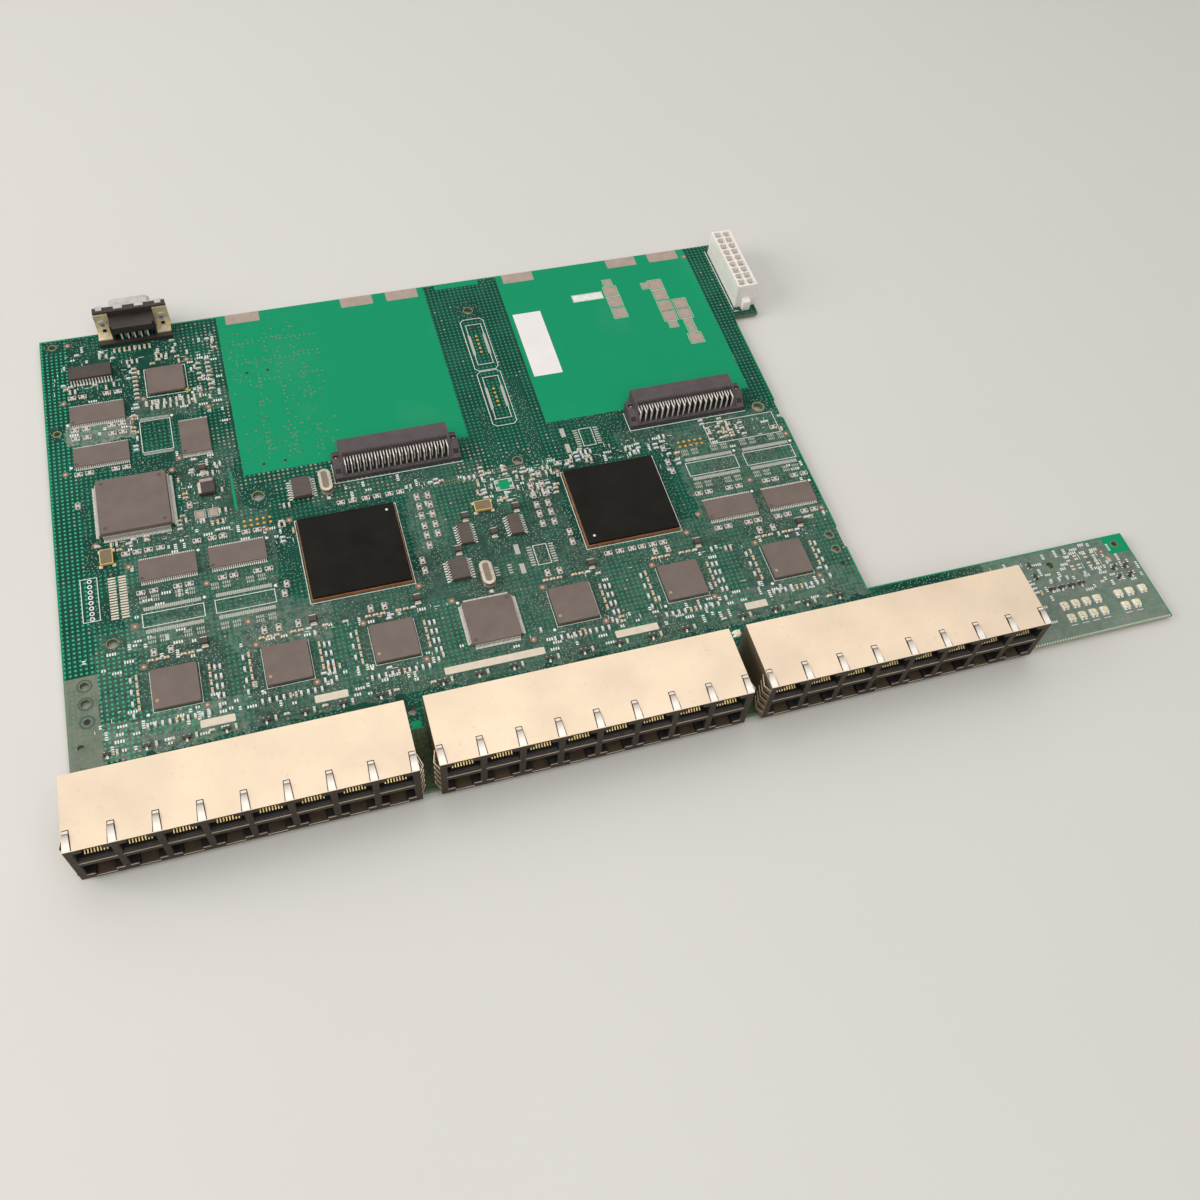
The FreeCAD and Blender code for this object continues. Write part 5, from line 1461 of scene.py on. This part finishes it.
class SWITCHBOARD_OT_pads(bpy.types.Operator):
    """Lay the bare tinned and gilt pads"""
    bl_idname = "switchboard.pads"
    bl_label = "Bare pads"

    def execute(self, context):
        high = looks().sizes.pad_height / MM
        spread(unit_pad(high, "pad_tin"), "edge_and_test_pads", pad_places(REAR_PADS + TEST_PADS))
        spread(unit_pad(high, "bar_tin"), "ground_bars", pad_places(BARS + self.tinned()))
        stubs = []
        for x in PORT_CHIP_X:
            stubs += (pad_row(x - 11.3, 50.4, 4, 2.6, 0, 0.3, 1.9)
                      + pad_row(x + 2.9, 50.2, 4, 2.55, 0, 0.3, 2.2))
        spread(unit_pad(0.012, "mask_green"), "trace_stubs", pad_places(stubs))
        spread(unit_pad(high, "pad_grey"), "bare_part_pads", pad_places(self.bare()))
        gilt = [(187.0, y + PIN_PITCH * i, 0.0) for y in (208.5, 175.3) for i in range(5)]
        for x, y in ((71.5, 134.5), (258.0, 134.3)):
            gilt += [(x + PIN_PITCH * i, y + 2.5 * j, 0.0) for i in range(5) for j in range(2)]
        spread(unit_dot(1.2, high, "pad_gold"), "header_pads", gilt)
        spread(hole_mark(1.9, 0.42, high, "print"), "eight_way_pads",
               [(10.5, 103.7 + PIN_PITCH * i, 0.0) for i in range(8)])
        return {"FINISHED"}

    def tinned(self):
        """Pads under the arrays of the strip, the cans and the capacitors, and of an empty socket."""
        pads = [(x - 0.85, x + 0.85, y + s * 0.8 - 0.4, y + s * 0.8 + 0.4)
                for x, y in STRIP_PADS for s in (-1, 1)]
        for x in (18.7, 22.6):
            pads += pad_row(x, 102.0, 16, 0, 1.27, 2.9, 0.72)
        for node in OSCILLATORS:
            low, top = node_box(node)
            pads += squares(1.4, *[(x, y) for x in (low.x, top.x) for y in (low.y, top.y)])
        for node in CRYSTALS:
            low, top = node_box(node)
            pads += squares(1.5, ((low.x + top.x) / 2, low.y - 1.5))
        for x, y in TANTALUM:
            pads += [(x - 1.25, x + 1.25, y + s * 2.0 - 0.45, y + s * 2.0 + 0.45) for s in (-1, 1)]
        return pads

    def bare(self):
        """Pads of chips, arrays and headers that aren't fitted."""
        pads = list(STRIPS)
        for x, rows in ((39.9, (103.6, 93.2)), (67.0, (103.6, 93.2)), (268.5, (126.5, 115.7)),
                        (295.0, (126.5, 115.7))):
            for y in rows:
                pads += pad_row(x - 10.4, y, 27, 0.8, 0, 0.64, 1.7)
        for y in (200.6, 181.0):
            pads += pad_row(36.6, y, 24, 0.5, 0, 0.3, 1.3)
        for x, y in ((184.5, 93.0), (220.0, 149.0)):
            for side in (-4.6, 4.6):
                pads += pad_row(x + side, y - 4.45, 8, 0, 1.27, 2.0, 0.65)
        for x in (164.8, 170.2):
            pads += pad_row(x, 87.1, 4, 0, 1.27, 1.8, 0.65)
        for x, y in ((210.0, 153.5), (210.0, 144.5), (175.1, 97.7), (175.1, 88.0)):
            pads.append((x - 1.0, x + 1.0, y - 2.5, y + 2.5))
        pads += squares(1.5, (175.4, 130.0), (181.1, 130.0), (175.4, 133.2), (181.1, 133.2))
        for y, row in EMPTY_ARRAYS:
            for x in row:
                for side in (0.9, -0.9):
                    pads += pad_row(x - 1.2, y + side, 4, 0.8, 0, 0.42, 1.3)
        return pads


# Copper sighting marks and printed dots: x, y
MARKS = ((10, 251), (6.5, 216.7), (39, 212.5), (59, 232), (33.5, 202), (65, 202), (5, 177.3), (50, 176),
         (46.5, 170.3), (14, 138.3), (25.5, 125), (79.5, 131), (89, 133.5), (53.5, 110.2), (25.4, 96.7),
         (66.6, 88.8), (27, 78), (68, 77.8), (108.7, 77.5), (47.5, 56.4), (87.5, 56.2), (144, 79.5),
         (133, 89.5), (129, 56), (170.7, 54.5), (180.4, 77.3), (200.6, 56), (202, 133.3), (226.5, 77.2),
         (246.5, 56.5), (245.7, 89.5), (253.5, 97.5), (255, 131.3), (272, 77.8), (292.4, 56), (281.6, 109.8),
         (306.6, 88.6), (306.8, 131), (299, 250), (415.5, 38.5))
PRINT_DOTS = ((26.7, 57.3), (67.6, 57), (108.4, 56.8), (179.8, 56.8), (225.7, 56.8), (271.7, 56.8), (146, 78),
              (7.4, 204), (7.4, 180.3), (49.5, 200.5), (65, 199.5), (59.5, 211.8), (52.2, 127), (79, 126.7),
              (52, 104), (79, 103), (280.5, 127), (307, 126.7), (280.3, 103.8), (307, 103.8))
# Small plated holes: x, y, size; and rings round larger holes: x, y, inner and outer size
PLATED_HOLES = ((5.6, 59.7, 2.6), (304.2, 59.5, 2.2), (187.0, 224.7, 2.2), (187.0, 191.5, 2.0),
                (83.5, 218.0, 1.4), (92.5, 218.0, 1.4), (83.3, 165.0, 1.4), (92.3, 165.0, 1.4),
                (20.3, 122.6, 1.0), (20.3, 100.4, 1.0))
HOLE_RINGS = ((78.7, 148.7, 4.4, 5.3), (300.21, 148.7, 4.4, 5.9), (187.1, 143.0, 3.8, 4.7),
              (187.1, 235.6, 3.8, 4.6), (3.0, 200.0, 2.6, 3.7), (3.7, 251.0, 2.8, 3.8),
              (390.0, 37.3, 3.2, 3.9), (423.2, 40.8, 2.6, 3.4), (304.21, 74.3, 3.2, 4.1),
              (304.21, 66.8, 3.2, 4.1), (16.8, 91.0, 4.0, 4.7))


class SWITCHBOARD_OT_marks(bpy.types.Operator):
    """Lay the copper sighting marks, the rings and marks of holes and the bare vias"""
    bl_idname = "switchboard.marks"
    bl_label = "Sighting marks"

    def execute(self, context):
        high = looks().sizes.pad_height / MM
        disc(2.6, 24, 0)
        all_open()
        extrude(0, 0, high)
        pick(facing_up)
        inset(0.8, 0.01)
        paint(lambda face: face.select, 1)
        outward()
        spread(closed("copper", "cream_ceramic"), "sighting_marks", [(x, y, 0.0) for x, y in MARKS])
        made = []
        for x, y, inner, outer in HOLE_RINGS:
            disc(outer, 32, 0)
            all_open()
            inset((outer - inner) / 2 - 0.05)
            bpy.ops.mesh.delete(type="FACE")
            thicken(high)
            made += set_out(closed("ring_tin"), [(x, y, 0.0)])
        join(made, "hole_rings")
        dice = random.Random(looks().sizes.seed + 2)
        spread(unit_dot(0.7, 0.015, "dull_via", 8), "window_vias", window_vias(dice))
        spread(hole_mark(1.25, 0.13, high, "laminate"), "tooling_marks",
               [(x, y, 0.0, 0.0, (dia, dia, 1.0)) for x, y, dia in PLATED_HOLES])
        return {"FINISHED"}


def window_vias(dice):
    """Small bare vias in the left plain window: rows, columns and a loose scatter."""
    places = []
    for y in (238.0, 236.2, 226.0, 224.2, 213.0):
        places += [(80.0 + 2.1 * i, y + dice.uniform(-0.4, 0.4)) for i in range(18) if dice.random() < 0.62]
    for x in (86.5, 88.0, 97.2, 98.6, 108.5):
        places += [(x + dice.uniform(-0.3, 0.3), 168.0 + 2.3 * i) for i in range(24) if dice.random() < 0.5]
    places += [(dice.uniform(77.0, 118.0), dice.uniform(164.0, 246.0)) for _ in range(120)]
    places += [(150.0 + 1.05 * i, 137.0 + 0.075 * i + step) for i in range(38) for step in (0.0, 1.3)]
    return [(x, y, 0.0) for x, y in places]


def outline(x0, x1, y0, y1, line, height, cut=0.0):
    """A thin printed frame, its corners cut when asked."""
    plate(x0, x1, y0, y1, 0)
    all_open()
    if cut:
        bpy.ops.mesh.bevel(offset=cut, affect="VERTICES")
        all_open()
    inset(line)
    bpy.ops.mesh.delete(type="FACE")
    thicken(height)
    return closed("print")


# Screen print: lines of the frames round parts and round pads, corner cut of the header frames, and widths of
# dashes and ticks with the ticks' pitch
FRAME_LINE, PAD_LINE, HEADER_CUT = 0.28, 0.15, 1.6
DASH_WIDTH, TICK_WIDTH, TICK_PITCH = 0.22, 0.58, 0.95


class SWITCHBOARD_OT_screen_print(bpy.types.Operator):
    """Lay the plain screen print: frames, dots, bars and short dashes"""
    bl_idname = "switchboard.screen_print"
    bl_label = "Screen print"

    def execute(self, context):
        high = looks().sizes.print_height / MM
        made = []
        carriers = [node_box(f"switch_chip_substrate_{side}") for side in ("left", "right")]
        chip_frames = tuple((a.x - 0.8, b.x + 0.8, a.y - 0.8, b.y + 0.8) for a, b in carriers)
        pad_frames = tuple((a - 0.45, b + 0.45, c - 0.45, d + 0.45) for a, b, c, d in TEST_PADS)
        for boxes, line, cut in ((FRAMES, FRAME_LINE, 0.0), (HEADER_FRAMES, FRAME_LINE, HEADER_CUT),
                                 (pad_frames, PAD_LINE, 0.0), (chip_frames, FRAME_LINE, 0.0)):
            for box in boxes:
                made += set_out(outline(*box, line, high, cut), HERE)
        made += set_out(unit_pad(high, "print"), pad_places(self.bars() + self.dashes()))
        made += set_out(unit_dot(1.3, high, "print"), [(x, y, 0.0) for x, y in PRINT_DOTS])
        join(made, "screen_print")
        return {"FINISHED"}

    def bars(self):
        """Bars in set places: a field, chip and socket outlines, and marks of the lights and the strip."""
        bars = [(237.4, 251.6, 230.7, 234.6)]
        for x in PORT_CHIP_X:
            bars += [(x - 9.0, x - 8.8, 57.8, 75.4), (x + 8.8, x + 9.0, 57.8, 75.4),
                     (x - 9.0, x + 9.0, 57.6, 57.8)]
        for _, x in SOCKETS:
            bars += [(x - 27.2, x + 27.2, 147.7, 148.05), (x - 27.2, x - 26.85, 148.0, 158.5)]
        bars += [(x - 1.6, x + 1.6, 7.9, 8.2) for x in LIGHT_COLUMNS]
        bars += [(310.3, 310.65, 210.0, 251.5), (310.3, 313.0, 208.6, 208.9)]
        bars += pad_row(DASH_START, BOARD_FRONT + 0.32, DASH_COUNT, DASH_PITCH, 0, DASH_LENGTH, 0.56)
        return bars + [(x + 1.5, x + 1.75, y - 1.5, y + 1.5) for x, y in STRIP_PADS[1::2]]

    def dashes(self):
        """Dashes and rows of ticks scattered over the open ground."""
        dice = random.Random(looks().sizes.seed + 1)
        ground = Ground()
        dashes = []
        for x0, x1, y0, y1, count in SCATTER_ZONES:
            for _ in range(2 * count):
                x, y, turn = dice.uniform(x0, x1), dice.uniform(y0, y1), dice.choice((0.0, 90.0))
                length = dice.uniform(1.0, 2.4)
                if ground.claim((x, y, 0.0, turn), length, 0.5):
                    size = (DASH_WIDTH, length) if turn else (length, DASH_WIDTH)
                    dashes += pad_row(x, y, 1, 0, 0, *size)
        for x0, x1, y0, y1, count in SCATTER_ZONES + TICK_ZONES:
            for _ in range(count):
                x, y, ticks = dice.uniform(x0, x1), dice.uniform(y0, y1), dice.randint(2, 4)
                across = dice.random() < 0.5
                length = dice.uniform(1.0, 1.35)
                if across:
                    row = pad_row(x, y, ticks, TICK_PITCH, 0, TICK_WIDTH, length)
                else:
                    row = pad_row(x, y, ticks, 0, TICK_PITCH, length, TICK_WIDTH)
                span = (row[0][0], row[-1][1], row[0][2], row[-1][3])
                if ground.free(*span):
                    ground.take(*span)
                    dashes += row
        return dashes


# Stage

# Camera: its place in board millimetres, its turn in degrees and its film width
EYE = (96.5076, -180.1542, 402.9628)
AIM_DEG = (33.32825, -4.23636, -16.60309)
SENSOR_WIDTH = 36.0
FLOOR_SIDE = 5.0
ROOM_COLOUR = (1.0, 0.985, 0.96, 1.0)
LAMP_COLOUR = (1.0, 0.97, 0.93)
# Soft lights: name, place and size in metres, and the setting of its power
LAMPS = (("key_light", (-0.05, 0.95, 1.25), (2.4, 1.5), "key_power"),
         ("top_light", (0.18, -0.1, 1.7), (1.6, 1.6), "top_power"),
         ("fill_light", (-1.5, 0.1, 0.8), (1.2, 1.0), "fill_power"),
         ("front_light", (-0.1, -0.9, 1.2), (1.8, 1.0), "front_power"))


class SWITCHBOARD_OT_stage(bpy.types.Operator):
    """Set the floor, the soft lights and the camera"""
    bl_idname = "switchboard.stage"
    bl_label = "Stage"

    def execute(self, context):
        stage, scene = looks().stage, context.scene
        clear_selection()
        bpy.ops.mesh.primitive_plane_add(size=FLOOR_SIDE, location=(0, 0, 0))
        floor = context.object
        floor.name = "floor"
        floor.data.materials.append(worn("floor", tuple(stage.floor), shade(stage.floor, 0.985), 0.8,
                                         patch=200.0, grain=2.0, depth=0.02))
        for name, place, size, power in LAMPS:
            self.lamp(name, place, size, getattr(stage, power))
        scene.world = self.room(stage)
        scene.view_settings.view_transform = "Standard"
        lens = bpy.data.cameras.new("camera")
        lens.lens = stage.lens
        lens.sensor_width = SENSOR_WIDTH
        lens.clip_start = 0.01
        camera = bpy.data.objects.new("camera", lens)
        scene.collection.objects.link(camera)
        camera.location = (CORNER + Vector(EYE)) * MM
        camera.rotation_euler = tuple(math.radians(a) for a in AIM_DEG)
        scene.camera = camera
        return {"FINISHED"}

    def lamp(self, name, place, size, power):
        """A soft rectangular light aimed at the board."""
        data = bpy.data.lights.new(name, "AREA")
        data.shape = "RECTANGLE"
        data.size, data.size_y = size
        data.energy = power
        data.color = LAMP_COLOUR
        lamp = bpy.data.objects.new(name, data)
        bpy.context.scene.collection.objects.link(lamp)
        lamp.location = place
        lamp.rotation_euler = (-Vector(place)).to_track_quat("-Z", "Y").to_euler()

    def room(self, stage):
        """Even room light, paler where it is seen directly, in gloss or through clear pieces."""
        world = bpy.data.worlds.new("room")
        world.use_nodes = True
        nodes, links = world.node_tree.nodes, world.node_tree.links
        nodes["Background"].inputs[0].default_value = ROOM_COLOUR
        level = nodes.new("ShaderNodeMapRange")
        level.inputs["To Min"].default_value = stage.sky
        level.inputs["To Max"].default_value = stage.backdrop
        rays = nodes.new("ShaderNodeLightPath").outputs
        seen = rays["Is Camera Ray"]
        for kind in ("Is Glossy Ray", "Is Transmission Ray"):
            both = nodes.new("ShaderNodeMath")
            links.new(seen, both.inputs[0])
            links.new(rays[kind], both.inputs[1])
            seen = both.outputs[0]
        links.new(seen, level.inputs["Value"])
        links.new(level.outputs[0], nodes["Background"].inputs[1])
        return world


class SWITCHBOARD_PT_panel(bpy.types.Panel):
    """Steps that dress the switch board"""
    bl_label = "Switch board"
    bl_idname = "SWITCHBOARD_PT_panel"
    bl_space_type = "VIEW_3D"
    bl_region_type = "UI"
    bl_category = "Switch board"

    def draw(self, context):
        for step in STEPS:
            self.layout.operator(step.bl_idname)
        for group in ("board", "parts", "sizes", "stage"):
            box = self.layout.box()
            settings = getattr(context.scene.switch_board, group)
            for key in settings.__annotations__:
                box.prop(settings, key)


STEPS = (SWITCHBOARD_OT_board, SWITCHBOARD_OT_jacks, SWITCHBOARD_OT_console, SWITCHBOARD_OT_power_header,
         SWITCHBOARD_OT_module_sockets, SWITCHBOARD_OT_chips, SWITCHBOARD_OT_chip_leads,
         SWITCHBOARD_OT_switch_chips, SWITCHBOARD_OT_cans, SWITCHBOARD_OT_capacitors,
         SWITCHBOARD_OT_status_lights, SWITCHBOARD_OT_chip_parts, SWITCHBOARD_OT_arrays,
         SWITCHBOARD_OT_transistors, SWITCHBOARD_OT_pads, SWITCHBOARD_OT_marks,
         SWITCHBOARD_OT_screen_print, SWITCHBOARD_OT_stage)
CLASSES = (BoardColours, PartColours, PartSizes, StageSettings, SwitchBoard, *STEPS, SWITCHBOARD_PT_panel)


def register():
    for item in CLASSES:
        bpy.utils.register_class(item)
    bpy.types.Scene.switch_board = PointerProperty(name="Switch board",
                                                   description="Looks of the switch board", type=SwitchBoard)


def unregister():
    del bpy.types.Scene.switch_board
    for item in reversed(CLASSES):
        bpy.utils.unregister_class(item)


def main():
    """Dresses the board step by step."""
    register()
    for step in STEPS:
        group, name = step.bl_idname.split(".")
        getattr(getattr(bpy.ops, group), name)()


if __name__ == "__main__":
    main()
